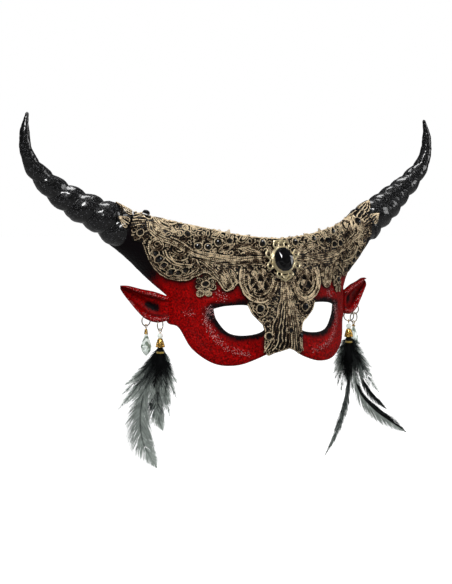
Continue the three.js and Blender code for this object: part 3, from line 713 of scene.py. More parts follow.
def shell_sparkle(points):
    """Where pale glitter lies: down the cheek ridges, by the outer eye corners and on the brow; its pale
    specks are partly the glitter itself and partly painted glints.
    """
    folded = on_right(points)
    band = smooth_line([(57, -2), (59.5, -12), (54, -25), (44, -34), (30, -38)], 40)
    glitter_and_painted_glints = swell(line_distance(folded, band), 0, 3)
    for spot, reach in (((50, 8), 6), ((57, -4), 6), ((70, -6), 4)):
        glitter_and_painted_glints = np.maximum(glitter_and_painted_glints, 0.8 * swell(np.linalg.norm(folded - spot, axis=1), 0, reach))
    return glitter_and_painted_glints


SHELL_SPACING, SHELL_RINGS, SHELL_LIP = 1.25, (0.12, 0.4, 0.8, 1.25), 1.25


def build_shell(materials):
    """The painted front and its lining, with rounded edges and a hand-laid unevenness."""
    loops = [OUTLINE, EYE_LOOP, mirrored(EYE_LOOP)]
    points, triangles = triangulated(loops, SHELL_RINGS, SHELL_SPACING)
    edge = np.min([line_distance(points, loop, True) for loop in loops], axis=0)
    short = np.clip(1 - edge / SHELL_LIP, 0, 1)
    round_off = SHELL_LIP * (1 - np.sqrt(np.maximum(1 - short * short, 0)))
    front = on_shell(points)
    front[:, 1] += round_off - cheek_ridge(points) * np.clip(edge / 3, 0, 1)
    front[:, 1] += roughened(front, 2.2, 0.3) * np.clip(edge / 2, 0, 1)
    back = on_shell(points)
    back[:, 1] += THICKNESS - round_off
    back[:, 1] += roughened(back, 7, 0.5) * np.clip(edge / 3, 0, 1)
    pile = Pile()
    shade, sparkle = shell_shade(points), shell_sparkle(points)
    add_sheet(pile, front, back, triangles, shade=np.tile(shade, 2), sparkle=np.tile(sparkle, 2))
    make_piece("painted_shell", pile, materials, "mask", ["mask_shell"])


# ---- lace -----------------------------------------------------------------------------------------------

def ring(x, z, radius, stretch=1.0, turn=0.0):
    angle = np.linspace(0, 2 * math.pi, 40, endpoint=False)
    across, up = radius * np.cos(angle), radius * stretch * np.sin(angle)
    return np.stack([x + across * math.cos(turn) - up * math.sin(turn),
                     z + across * math.sin(turn) + up * math.cos(turn)], 1)


def spiral(x, z, outer, inner, turns, start=0.0, way=1):
    share = np.linspace(0, 1, 30 * turns)
    angle = start + way * 2 * math.pi * turns * share
    radius = lerp(outer, inner, share)
    return np.stack([x + radius * np.cos(angle), z + radius * np.sin(angle)], 1)


def offset(line, distance):
    line = resampled(line, 1.0)
    ahead = unit(np.gradient(line, axis=0))
    return line + np.stack([-ahead[:, 1], ahead[:, 0]], 1) * distance


def brow_loop():
    arm_end = [(111.5, 62.5), (110, 52)]
    return np.vstack([TOP_LINE + [0, 1.0], arm_end, LACE_BROW_HEM[-2::-1], LACE_SPLIT[::-1]])


def nose_loop():
    half = np.vstack([LACE_SPLIT, LACE_NOSE_EDGE])
    return np.vstack([half, mirrored(half)[::-1][1:-1]])


def lace_loops():
    return [brow_loop(), nose_loop(), ring(*FLOWER, 5.9)]


def wobbled(line, random, reach=0.3):
    """The line as a hand would lay it, wandering a little to either side."""
    line = np.array(line, float)
    for _ in range(3):
        turn, size = random.uniform(0, 2 * math.pi), random.uniform(4, 9)
        phase = random.uniform(0, 2 * math.pi, 2)
        wave = 2 * math.pi * (line @ [math.cos(turn), math.sin(turn)]) / size
        line += reach * np.sin(wave[:, None] + phase)
    return line


class Lace:
    """Cords drawn in X and Z on one side of the mask, and the free room left between them."""

    STEP, MARGIN, FINE = 0.5, 4, 0.65

    def __init__(self, loop, seed):
        self.loop = np.asarray(loop)
        self.cords = []
        self.low = self.loop.min(0) - self.MARGIN
        size = np.ceil((self.loop.max(0) + self.MARGIN - self.low) / self.STEP).astype(int)
        i, j = np.meshgrid(np.arange(size[0]), np.arange(size[1]), indexing="ij")
        self.cells = np.stack([i, j], -1) * self.STEP + self.low
        flat = self.cells.reshape(-1, 2)
        edge = line_distance(flat, self.loop, True)
        self.room = np.where(inside(flat, self.loop), edge + 0.2, 0).reshape(size)
        self.random = np.random.default_rng(seed)

    def cord(self, line, radius=0.6, closed=False, lift=0.3, glow=0.06):
        """Lay one cord, each a little different, and paler towards the top edge of the mask, where a painted
        highlight stands for the light on the upper cords.
        """
        line = wobbled(line, self.random, 0.17 if radius < self.FINE else 0.1)
        radius = radius * self.random.uniform(0.85, 1.2)
        lift = lift + self.random.uniform(0, 0.8)
        # painted highlight: cords near the mask's top edge are made paler as if lit from above; the random
        # part is each cord's own tone
        painted_highlight_near_top = smoothstep(np.mean(line[:, 1] - np.interp(line[:, 0], *TOP_LINE.T)), -10, -2)
        glow = glow + 0.24 * painted_highlight_near_top + self.random.uniform(-0.14, 0.14)
        self.cords.append((line, radius, closed, lift, glow))
        for point in resampled(line, 1.0, closed):
            self.block(point, radius)

    def curve(self, points, count, radius=0.6, lift=0.3, glow=0.06):
        self.cord(smooth_line(points, count), radius, lift=lift, glow=glow)

    def bundle(self, points, count, gap=1.5, radius=0.6, lift=0.5, glow=0.1):
        """Cords laid side by side along a curve."""
        middle = smooth_line(points, 60)
        for k in range(count):
            self.cord(offset(middle, (k - (count - 1) / 2) * gap), radius, lift=lift, glow=glow)

    def block(self, point, radius, reach=6.0):
        """Take a round spot out of the free room."""
        i, j = ((point - self.low) / self.STEP).astype(int)
        span = int(reach / self.STEP)
        window = tuple(slice(max(k - span, 0), max(k + span + 1, 0)) for k in (i, j))
        if self.room[window].size:
            gap = np.linalg.norm(self.cells[window] - point, axis=-1) - radius
            self.room[window] = np.minimum(self.room[window], np.maximum(gap, 0))

    def stone_ring(self, x, z, radius):
        """A setting for a stone, with the room inside it taken."""
        self.cord(ring(x, z, radius + 0.7), 0.5, True, 0.7, 0.25)
        self.block(np.array([x, z]), radius)

    def leaf(self, root, tip, half, layers=(1.0, 0.6, 0.25), radius=0.5):
        for loop in leaf_loops(root, tip, half, layers):
            self.cord(loop, radius, True, 0.6)
        self.block((np.array(root) + tip) / 2, half * 0.6)

    def fill(self, largest=2.1, smallest=0.75, wire=0.48):
        """Rings, coils, curls and knots packed into all the room that is left."""
        while True:
            place = np.unravel_index(np.argmax(self.room), self.room.shape)
            free = self.room[place]
            if free < smallest:
                return
            x, z = self.cells[place]
            radius = min(free - wire * 0.3, largest) * self.random.uniform(0.75, 1)
            kind, turn = self.random.random(), self.random.uniform(0, 2 * math.pi)
            if kind < 0.15 and radius > 1.6:
                self.cord(spiral(x, z, radius, 0.4, 2, turn), wire, glow=0.0)
            elif kind < 0.45:
                self.cord(ring(x, z, radius, 0.8, turn)[:26], wire * 1.3, glow=0.08)
            else:
                self.cord(ring(x, z, radius, self.random.uniform(0.6, 1), turn), wire, True, glow=0.03)
            self.block(np.array([x, z]), radius)

    def pile(self, sign, surface=on_shell):
        """The cords as they lie, over a thin dark ground that fills the outline as painted shade in the gaps
        between the cords.
        """
        pile = Pile()
        outline = self.loop if sign > 0 else mirrored(self.loop)[::-1]
        points, triangles = triangulated([outline], (0.8,), 2.0)
        normal = surface_normals(surface, points)
        front, back = (surface(points) + normal * (CLEARANCE + lift) for lift in (0.3, 0.05))
        # the ground's low relief value makes it near black: painted shade between the cords
        add_sheet(pile, front, back, triangles, back_kind=0, relief=0.24)
        for line, radius, closed, lift, glow in self.cords:
            path = line if sign > 0 else mirrored(line)[::-1]
            lay(pile, path, surface, radius, lift + CLEARANCE, closed, glow=glow)
        return pile


def leaf_loops(root, tip, half, layers):
    """Nested pointed loops from a root to a tip."""
    root, tip = np.array(root, float), np.array(tip, float)
    along = tip - root
    across = np.array([-along[1], along[0]]) / np.linalg.norm(along)
    share = np.linspace(0, 1, 16)
    loops = []
    for scale in layers:
        start = root + along * (1 - scale) * 0.35
        spine = start + np.outer(share * (0.4 + 0.6 * scale), along)
        width = np.outer(half * scale * np.sin(math.pi * share ** 0.8), across)
        loops.append(np.vstack([spine + width, (spine - width)[::-1][1:-1]]))
    return loops


def brow_edges(lace):
    """The corded hem, and the loops and leaf tips that break the top edge."""
    hem = smooth_line(LACE_BROW_HEM[:-1], 90)
    lace.cord(offset(hem, 0.5), 0.6)
    lace.cord(offset(hem, 1.9)[4:-3], 0.5)
    top = TOP_LINE + [0, 0.2]
    lace.cord(top[:38], 0.55)
    x, last = 3.0, 96
    while x < last:
        radius = lace.random.uniform(0.7, 1.5)
        height = np.interp(x, top[:, 0], top[:, 1]) + radius * lace.random.uniform(-0.2, 0.8)
        lace.cord(ring(x, height, radius, lace.random.uniform(0.6, 1)), 0.42, True)
        x += radius + lace.random.uniform(1.2, 5.5)
    for leaf in (((34, 51), (24, 56.3), 1.8), ((44, 53), (40, 60.6), 1.5), ((55, 54.5), (47, 58.5), 2),
                 ((60, 60), (70, 63.6), 1.7), ((88, 65.5), (77, 64.5), 1.7)):
        lace.leaf(*leaf, (1.0, 0.4))


def brow_rays(lace, gem):
    """Cords that fan out from the gem by the horn, back over the arm and forward to the brooch."""
    lace.stone_ring(*gem, 2.7)
    for start, end in (((1.5, 1.7), (106, 73.2)), ((2.6, 0.2), (107.4, 71.2)), ((2.8, -1.4), (108.2, 69.2)),
                       ((2.6, -3.4), (109.3, 67)), ((3.4, -5.2), (110.3, 65)), ((4.6, -7), (110.8, 62.8))):
        lace.curve([gem + start, (gem + start + end) / 2 + [0, 0.4], end], 14, lift=0.6)
    lace.leaf((92.8, 68.6), (79.5, 57.5), 3.2, (1.0, 0.72, 0.42))
    lace.leaf((95.6, 66), (87.6, 55.2), 2.3)
    lace.leaf((91, 70), (76.5, 64), 1.6, (1.0, 0.5))
    lace.bundle([(98, 66), (97, 59.3), (90.6, 54), (83.6, 51), (74.2, 45.7), (64.5, 41), (54, 38.6),
                 (39.5, 36.9), (15.5, 37.2)], 3)
    lace.bundle([(84, 55), (77, 51.5), (69.5, 45.6), (62, 43), (50, 40.4), (36, 38.6)], 1)
    lace.bundle([(63, 38.4), (56, 35), (46, 33.6), (33, 33.6), (15.5, 34)], 3, 1.4, 0.5)
    for x, z, radius in ((77.7, 57.5, 2.4), (72.6, 61.2, 1.9), (67.3, 60.4, 2.0), (83, 60.5, 1.4)):
        lace.cord(ring(x, z, radius, 0.9), 0.55, True, 0.8)
        lace.cord(ring(x, z, radius * 0.4), 0.5, True, 0.8)


def brow_crescent(lace):
    """The curl under the horn, with its row of stones between an outer and an inner band."""
    outer = [(98.6, 52), (98.6, 45), (95, 36.5), (88, 28.6), (81.3, 24), (75.4, 22.3), (69.3, 24), (65, 28.3),
             (64, 33), (66.4, 37), (70.5, 37.4)]
    lace.curve(outer, 80, 0.7, 0.8)
    lace.cord(offset(smooth_line(outer[:8], 60), -1.7)[3:], 0.5)
    inner = [(88.6, 44.5), (86, 39.4), (80.6, 34.7), (74.6, 32.6), (68.2, 31.8)]
    lace.bundle(inner, 2, 1.7, 0.65, 0.8)
    lace.cord(spiral(92.9, 48.8, 5.6, 0.8, 3, 2.6, -1), 0.6, lift=0.9)
    for scale in (1.0, 0.66, 0.3):
        lace.cord(ring(78.4, 45, 6.4 * scale, 0.72, 0.45), 0.6, True, 0.9)
    lace.curve([(85, 43.6), (82.5, 38.6), (77, 36.3), (71, 38.6)], 20, lift=0.8)


def brow_scroll(lace):
    """The U-shaped scroll beside the brooch, its satin trellis, and the fingers that hang outside it."""
    outer = [(33, 29), (34.4, 18), (30.3, 9), (22.5, 4.4), (15.2, 5.4), (9.6, 11.5), (6.5, 19.5)]
    lace.bundle(outer, 3, 1.45, 0.72, 1.0, 0.12)
    inner = [(28.4, 26), (28.6, 15.8), (22.8, 9.4), (16, 10.6), (11.6, 16.4), (9.6, 22)]
    lace.bundle(inner, 2, 1.35, 0.6, 0.9, 0.08)
    for x, z in ((23.4, 25.4), (16.3, 26.6), (19.8, 17)):
        for scale in (0.85, 0.4):
            lace.cord(ring(x, z, 2.6 * scale, 0.85, 0.4), 0.85, True, 0.0, 0.2)
    for way in (1, -1):
        for k in (-0.5, 0.5):
            middle = np.array([19.6 + 7.4 * k, 20.5])
            bar = smooth_line([middle - [6 * way, 8.5], middle + [6 * way, 8.5]], 16)
            bar = bar[np.linalg.norm((bar - [19.4, 20]) / [8.6, 10], axis=1) < 1]
            lace.bundle(bar[[0, len(bar) // 2, -1]], 2, 1.1, 0.42, 1.3, 0.05)
    for x, z in ((19.5, 20), (19.5, 14.5), (15, 18), (24, 18), (19.5, 26)):
        lace.block(np.array([x, z]), 3.6)
    lace.bundle([(62.4, 37), (55, 30), (46.5, 18), (42.6, 13.5)], 3, 1.5, 0.55)
    for root, tip in (((50.6, 28.4), (44.6, 14.6)), ((46.9, 29.5), (41, 14.5)), ((42.4, 30), (37.6, 17.6))):
        lace.leaf(root, tip, 1.6, (1.0, 0.4), 0.5)
    lace.leaf((35, 48.2), (13.5, 40.3), 3.2, (1.0, 0.66, 0.3))
    lace.leaf((50, 43), (37, 49.5), 2.4, (1.0, 0.5))
    lace.curve([(20, 50.5), (28, 46.4), (38, 46), (47, 53.5)], 24, 0.55)


BROW_SEEDS, NOSE_SEED, FLOWER_SEED, LEAF_SEED = {1: 11, -1: 12}, 13, 14, 15


def draw_brow(sign, gem):
    """The brow lace of one side, drawn as on the right."""
    lace = Lace(brow_loop(), BROW_SEEDS[sign])
    for name, (x, z, radius) in STONES.items():
        if not name.startswith(("nose", "flower")):
            lace.stone_ring(x, z, radius)
    for x, z in EXTRA_STONES[sign]:
        lace.stone_ring(x, z, EXTRA_RADIUS)
    brow_rays(lace, np.array([abs(gem[0]), gem[1]]))
    brow_crescent(lace)
    brow_scroll(lace)
    brow_edges(lace)
    lace.fill()
    return lace.pile(sign)


def draw_nose():
    """The fan that runs from under the brooch down over the nose."""
    lace = Lace(nose_loop(), NOSE_SEED)
    lobe = [(29, 3.6), (26.5, 3), (20, 4.6), (14.6, 1), (14, -5), (18, -8.4), (22, -8.4)]
    for sign in (1, -1):
        way = [sign, 1]
        lace.cord(offset(smooth_line(LACE_NOSE_EDGE, 60) * way, -0.5 * sign), 0.65)
        for name in ("nose_stone", "nose_low_stone"):
            x, z, radius = STONES[name]
            lace.stone_ring(sign * x, z, radius)
        lace.cord(smooth_line(lobe, 40) * way, 0.6, lift=0.7)
        lace.cord(smooth_line([(25.2, 1), (26, -3), (22, -7)], 20) * way, 0.5)
        for k in (0.08, 0.25, 0.43, 0.62, 0.82, 0.99):
            line = [(2.4 * k, 20.5), (4 * k, 8), (7.4 * k, -6), (11 * k, -19), (12.4 * k, -28),
                    (17.6 * k, -33 - 3.4 * k)]
            lace.cord(smooth_line(line, 60) * way, 0.55, lift=1.1, glow=0.1)
    lace.stone_ring(*NOSE_CENTRE)
    lace.fill(largest=1.6, wire=0.4)
    return lace.pile(1)


def draw_flower(sign):
    """Small coils round a stone, with two more hanging below them."""
    x, z = FLOWER
    lace = Lace(ring(x, z, 5.6), FLOWER_SEED)
    lace.stone_ring(x, z, 1.9)
    for k in range(6):
        angle = math.pi / 2 + k * math.pi / 3
        petal = x + 4.8 * math.cos(angle), z + 4.8 * math.sin(angle)
        lace.cord(ring(*petal, 2.1), 0.5, True)
        lace.cord(ring(*petal, 0.8), 0.4, True)
    for way in (-1.4, 3.5):
        lace.cord(spiral(x + way, z - 7.6, 2.2, 0.5, 2, 0), 0.5)
        lace.cord(ring(x + way, z - 7.6, 2.3), 0.5, True, 0.6)
    return lace.pile(sign)


def leaf_pile(random, root, tip, half):
    """A leaf tip laid over the foot of a horn: an outline and three ribs."""
    pile = Pile()
    outline = leaf_loops(root, tip, half, (1.0,))[0]
    lay(pile, wobbled(outline, random, 0.15), on_horn, 0.5, 0.5, True, glow=0.2)
    for across in (-0.5, 0, 0.5):
        start = np.array(root) + [0, across * half]
        middle = (start + tip) / 2 + [0, across * half * 0.55]
        rib = smooth_line([start, middle, tip], 16)
        lay(pile, wobbled(rib, random, 0.15), on_horn, 0.6, 0.7, glow=0.22)
    return pile


def build_lace(material):
    for side, sign in SIDES.items():
        brow = draw_brow(sign, HORN_STONES[side])
        make_piece(f"corded_lace_brow_{side}", brow, [material], "mask", [f"lace_brow_{side}"])
        flower = draw_flower(sign)
        make_piece(f"corded_flower_{side}", flower, [material], "mask", [f"lace_flower_{side}"])
        random = np.random.default_rng(LEAF_SEED)
        for place, shape in HORN_LEAVES.items():
            pile = leaf_pile(random, *shape)
            if sign < 0:
                pile.mirror()
            node = f"lace_leaf_{place}_{side}"
            make_piece(f"corded_leaf_{place}_{side}", pile, [material], "mask", [node])
    make_piece("corded_lace_nose", draw_nose(), [material], "mask", ["lace_nose"])


# ---- horns and ears -------------------------------------------------------------------------------------

HORN_RINGS, HORN_SIDES = 420, 72
TIP_ROUNDING = 0.012
NECK_RINGS, NECK_RADII, NECK_REACH = 12, (14, 15.2), (-9, 0.6)


def horn_pile():
    """The ridged horn, and the smooth neck that sinks into the arm of the shell."""
    around = 2 * math.pi * np.arange(HORN_SIDES) / HORN_SIDES
    t = np.repeat(np.linspace(0, 1, HORN_RINGS), HORN_SIDES)
    angle = np.tile(around, HORN_RINGS)
    distance = horn_radius(t) * horn_ridge(t, angle)
    rounded = np.sqrt(np.clip((1 - t) / TIP_ROUNDING, 0, 1))
    points = horn_point(t, angle, distance * rounded)
    bumps = roughened(points, 4, 0.4) + roughened(points, 1.4, 0.12)
    points = horn_point(t, angle, (distance + bumps) * rounded)
    pile = Pile()
    pile.add(points, [grid_faces(HORN_RINGS, HORN_SIDES), *grid_ends(HORN_RINGS, HORN_SIDES)])
    inward = np.repeat(np.linspace(*NECK_REACH, NECK_RINGS), HORN_SIDES)
    radius = np.repeat(np.linspace(*NECK_RADII, NECK_RINGS), HORN_SIDES)
    foot = horn_point(np.zeros(len(radius)), np.tile(around, NECK_RINGS), radius)
    neck = foot + HORN_TANGENTS[0] * inward[:, None]
    pile.add(neck, [grid_faces(NECK_RINGS, HORN_SIDES), *grid_ends(NECK_RINGS, HORN_SIDES)])
    return pile


def height_at(line, u):
    return np.interp(u, *line.T)


CREST, LOBE = smooth_line(EAR_TOP, 40), smooth_line(EAR_LOW, 40)


def ear_point(u, z, behind):
    """Points at a distance out from the ear's root, a height above it and a distance behind its face."""
    (rx, ry), (ox, oy) = EAR_ROOT, EAR_OUTWARD
    return np.stack([rx + ox * u - oy * behind, ry + oy * u + ox * behind, z + 0 * u], -1)


def ear_hollow(u, across):
    return EAR_CUP * (1 - (2 * across - 1) ** 2) ** 2 * np.sin(math.pi * np.clip(u, 0, EAR_REACH) / EAR_REACH)


EAR_RINGS, EAR_SIDES, EAR_INSET = 64, 72, -2.6


def ear_folds(u, across):
    """The height of the two rolled rims and of the small fold between them, fading out at the root."""
    fold = 2.7 * swell(across, 0.11, 0.1) + 2.8 * swell(across, 0.89, 0.085)
    fold += 0.9 * swell(across, 0.68, 0.06) * smoothstep(u, 5, 12)
    return fold * smoothstep(u, -6, 3)


def ear_painted_shade(u, across):
    """How dark the front of the ear is made, as painted shade: in its slit, inside the rims and over the bowl
    of the cupped hollow.
    """
    slit = swell(across, 0.5, 0.17) * smoothstep(u, 2, 8) * (1 - smoothstep(u, 14, 21))
    channel = 0.55 * (swell(across, 0.24, 0.06) + swell(across, 0.79, 0.05))
    bowl = 0.36 * swell(across, 0.5, 0.26, 4) * smoothstep(u, 2, 8)
    return np.max([1.1 * slit, channel, bowl], axis=0)


def ear_pile():
    """A cupped, pointed ear: its front has rolled rims with a painted highlight of pale specks and a slit
    dark with painted shade, and its back is plain.
    """
    u = np.repeat(np.linspace(EAR_INSET, EAR_REACH, EAR_RINGS), EAR_SIDES)
    angle = np.tile(2 * math.pi * np.arange(EAR_SIDES) / EAR_SIDES, EAR_RINGS)
    across = 0.5 - 0.5 * np.cos(angle)
    facing = np.sign(np.sin(angle)) * np.abs(np.sin(angle)) ** 0.35
    front = facing < 0
    rise = lerp(height_at(LOBE, u), height_at(CREST, u), across)
    taper = np.sqrt(np.clip((EAR_REACH - u) / 3, 0.02, 1))
    body = ear_hollow(u, across) + EAR_THICKNESS / 2 - ear_folds(u, across) * taper * front
    points = ear_point(u, rise, body + facing * EAR_THICKNESS / 2 * taper)
    points[:, 1] += roughened(points, 2.4, 0.25)
    # rim places a painted highlight of pale specks along the rolled rims on the front
    rim = swell(across, 0.1, 0.1) + swell(across, 0.9, 0.08)
    tip = smoothstep(u, 27, 37)
    # painted shade in the front's hollow, and darker towards the tip on both faces
    shade = np.maximum(ear_painted_shade(u, across) * front, 0.5 * tip)
    faces = [grid_faces(EAR_RINGS, EAR_SIDES)[:, ::-1]]
    faces += [[face[::-1] for face in end] for end in grid_ends(EAR_RINGS, EAR_SIDES)]
    pile = Pile()
    pile.add(points, faces, shade=shade, sparkle=0.95 * rim * front * (1 - tip))
    return pile


def hole_point(name):
    u, z = HOLES[name]
    across = (z - height_at(LOBE, u)) / (height_at(CREST, u) - height_at(LOBE, u))
    point = ear_point(np.array(float(u)), z, ear_hollow(u, across) + EAR_THICKNESS / 2)
    return point * [1 if name.endswith("right") else -1, 1, 1]


def build_horns_and_ears(horn_material, shell_material):
    parts = {"horn": ("ridged_horn", horn_pile, horn_material, "horn_paint"),
             "ear": ("pointed_ear", ear_pile, shell_material, "shell_paint")}
    for side, sign in SIDES.items():
        for node, (name, shape, material, slot) in parts.items():
            pile = shape()
            if sign < 0:
                pile.mirror()
            make_piece(f"{name}_{side}", pile, [material], "mask", [f"{node}_{side}"])


# ---- stones and the brooch ------------------------------------------------------------------------------

TURNED_RING = 3


def faceted(pile, origin, axes, rings, sides):
    """A cut stone: rings are (size across, size up, height), and one of them is turned by half a facet."""
    right, up, outward = axes
    levels = []
    for k, (across, high, height) in enumerate(rings):
        angle = 2 * math.pi * (np.arange(sides) + 0.5 + 0.5 * (k == TURNED_RING)) / sides
        levels.append(origin + np.outer(across * np.cos(angle), right) + np.outer(high * np.sin(angle), up)
                      + outward * height)
    pile.add(np.vstack(levels), [grid_faces(len(rings), sides), *grid_ends(len(rings), sides)])


def shell_axes(x, z):
    place = np.array([[x, z]], float)
    outward = surface_normals(on_shell, place)[0]
    right = unit(np.cross([0, 0, 1], outward))
    up = np.cross(outward, right)
    return on_shell(place)[0], (right, up, outward)


STONE_LIFT, HORN_STONE_LIFT, SMALL_STONE_LIFT = 1.7, 2.6, 1.5


def cut_stone(pile, x, z, radius, lift):
    ground, axes = shell_axes(x, z)
    profile = [(1, 0), (1.02, 0.3), (0.78, 0.72), (0.42, 0.92)]
    rings = [(radius * r, radius * r, radius * h * 0.95) for r, h in profile]
    faceted(pile, ground + axes[2] * lift, axes, rings, 10)


def stone_piece(name, places, lift, material, nodes=()):
    pile = Pile()
    for place in places:
        cut_stone(pile, *place, lift)
    make_piece(name, pile, [material], "mask", nodes, smooth=False)


def build_stones(material):
    for name, (x, z, radius) in STONES.items():
        for side, sign in SIDES.items():
            place = (sign * x, z, radius)
            stone_piece(f"cut_{name}_{side}", [place], STONE_LIFT, material, [f"{name}_{side}"])
    stone_piece("cut_nose_centre_stone", [NOSE_CENTRE], STONE_LIFT, material, ["nose_centre_stone"])
    for side, radius in HORN_STONE_RADII.items():
        node = f"horn_stone_{side}"
        stone_piece(f"cut_{node}", [(*HORN_STONES[side], radius)], HORN_STONE_LIFT, material, [node])
    for side, sign in SIDES.items():
        small = [(sign * x, z, EXTRA_RADIUS) for x, z in EXTRA_STONES[sign]]
        stone_piece(f"cut_small_stones_{side}", small, SMALL_STONE_LIFT, material)


BROOCH_Z, BROOCH_TILT, BROOCH_LIFT, BROOCH_PLATE = 36, math.radians(16), 4.5, 2
BROOCH_BEADS = 34
STONE_WIDTH, STONE_HEIGHT, STONE_DEPTH = 8.6, 9.8, 4.4


def brooch_axes():
    outward = np.array([0, -math.cos(BROOCH_TILT), math.sin(BROOCH_TILT)])
    up = np.array([0, math.sin(BROOCH_TILT), math.cos(BROOCH_TILT)])
    depth = front_depth(np.array([[0.0, BROOCH_Z]]))[0] - BROOCH_LIFT
    return np.array([0, depth, BROOCH_Z]), (np.array([1.0, 0, 0]), up, outward)


def brooch_plane(points):
    """The face of the setting, as distances across and up from the middle of its stone."""
    origin, (right, up, outward) = brooch_axes()
    points = np.asarray(points, float)
    return origin + np.outer(points[:, 0], right) + np.outer(points[:, 1], up) + outward * 0.2


def brooch_collar(pile):
    """The two rings of the collar round the stone, and the beads along its edge."""
    for scale, lift in ((1.05, 0.7), (0.96, 1.7)):
        lay(pile, ring(0, 0, 9.2 * scale, 1.12), brooch_plane, 0.9, lift, True, sides=8, step=0.7)
    for k in range(BROOCH_BEADS):
        angle = 2 * math.pi * k / BROOCH_BEADS
        bead = ring(8.9 * math.cos(angle), 10.1 * math.sin(angle), 0.25)
        lay(pile, bead, brooch_plane, 0.4, 2.3, True, step=0.3)


def brooch_openwork(pile):
    """The loops and short bars of each side, then the crown above and the pointed drop below."""
    def bar(points, count, radius, lift=0.8):
        lay(pile, smooth_line(points, count), brooch_plane, radius, lift, step=0.5)

    for way in (1, -1):
        rings = [ring(way * x, z, 2.3, 1.1) for x, z in ((12.4, 4.9), (12.2, -4.6), (4.7, 12))]
        for line in (*rings, ring(way * 5.2, -11.6, 2.2, 0.85, -way * 0.6)):
            lay(pile, line, brooch_plane, 0.75, 0.9, True, sides=8, step=0.5)
        bar([(way * 13.4, 2.6), (way * 11.4, 0), (way * 13.2, -2.4)], 12, 0.7, 0.9)
        bar([(way * 7.4, -12.6), (way * 4, -15), (0, -17.4)], 16, 0.75)
        bar([(way * 7.2, 14), (way * 4.4, 15.4), (0, 15.9)], 16, 0.7)
    for k, half in enumerate((3.0, 2.1, 1.2)):
        bar([(-half, -12.6 - k), (0, -13.4 - 1.1 * k), (half, -12.6 - k)], 12, 0.8)
        bar([(-half, 13.2 + 0.6 * k), (0, 13.6 + 0.8 * k), (half, 13.2 + 0.6 * k)], 12, 0.8)


def build_brooch(gold, jet):
    setting, stone = Pile(), Pile()
    brooch_collar(setting)
    brooch_openwork(setting)
    make_piece("filigree_setting", setting, [gold], "mask", ["brooch_setting"])
    origin, axes = brooch_axes()
    profile = [(1, 0), (1, 0.3), (0.8, 0.66), (0.46, 0.94), (0.02, 1)]
    rings = [(STONE_WIDTH * r, STONE_HEIGHT * r, STONE_DEPTH * h) for r, h in profile]
    faceted(stone, origin + axes[2] * (BROOCH_PLATE + CLEARANCE), axes, rings, 12)
    make_piece("oval_brooch_stone", stone, [jet], "mask", ["brooch_stone"], smooth=False)


# ---- earrings -------------------------------------------------------------------------------------------

def placed(points, origin, yaw):
    """Points turned about the vertical and moved to an origin."""
    x, y, z = np.asarray(points, float).reshape(-1, 3).T
    c, s = math.cos(yaw), math.sin(yaw)
    return origin + np.stack([x * c - y * s, x * s + y * c, z], 1)


def circle(radius, turned=False):
    angle = np.linspace(0, 2 * math.pi, 48, endpoint=False)
    across, up = radius * np.sin(angle), radius * np.cos(angle) - radius
    return np.stack([0 * up, across, up] if turned else [across, 0 * up, up], 1)


def hang_ring(node, body, origin, yaw, material):
    pile = Pile()
    line = placed(circle(RING_RADIUS), origin, yaw)
    tube(pile, line, line - line.mean(0), RING_WIRE, True, 10)
    make_piece(f"wire_{node}", pile, [material], body, [node])


def eyelet(pile, origin, yaw, stem):
    """A wire loop and the stem below it; gives the height of the stem's foot."""
    line = placed(circle(EYELET_RADIUS, True), origin, yaw)
    tube(pile, line, line - line.mean(0), EYELET_WIRE, True, 8)
    top = -2 * EYELET_RADIUS + EYELET_WIRE / 2
    shaft = placed([(0, 0, top - stem * k / 4) for k in range(5)], origin, yaw)
    tube(pile, shaft, (0, 1, 0), EYELET_WIRE, sides=8)
    return top - stem


def coil(radius_top, radius_foot, top, foot, turns):
    share = np.linspace(0, 1, int(turns * 20))
    angle = 2 * math.pi * turns * share
    radius = lerp(radius_top, radius_foot, share)
    return np.stack([radius * np.cos(angle), radius * np.sin(angle), lerp(top, foot, share)], 1)


DROP_PROFILE = [(1.1, 0), (2.7, 4.2), (4.5, 9.5), (3.5, 13.2), (2.1, 15.3), (0.3, 17)]


def hang_crystal(side, origin, yaw, stem, cone, material, gold):
    """A cut drop under a cone of wound wire; stem and cone are their heights."""
    body = f"crystal_{side}"
    pile = Pile()
    foot = eyelet(pile, origin, yaw, stem)
    cone_top = foot + stem * 0.4
    wire = coil(0.8, 1.5, cone_top, cone_top - cone, max(2, round(cone * 1.3)))
    tube(pile, placed(wire, origin, yaw), (0, 0, 1), 0.34, sides=6)
    make_piece(f"wrapped_bail_{side}", pile, [gold], body, [f"crystal_bail_{side}"])
    top = origin + [0, 0, cone_top - cone - CLEARANCE]
    right, up = placed([(1, 0, 0), (0, -1, 0)], np.zeros(3), yaw)
    drop = Pile()
    faceted(drop, top, (right, up, np.array([0, 0, -1.0])), [(r, r, h) for r, h in DROP_PROFILE], 8)
    node = f"crystal_drop_{side}"
    make_piece(f"faceted_drop_{side}", drop, [material], body, [node], smooth=False)


def lathe(pile, profile, sides, origin):
    """A closed profile of (radius, height) turned round the vertical line through the origin."""
    profile = np.array(profile, float)
    angle = 2 * math.pi * np.arange(sides) / sides
    radius, height = profile[:, 0][:, None], profile[:, 1][:, None]
    points = np.stack([radius * np.cos(angle), radius * np.sin(angle), height + 0 * angle], -1) + origin
    pile.add(points, [grid_faces(len(profile), sides, wrap_rows=True)])


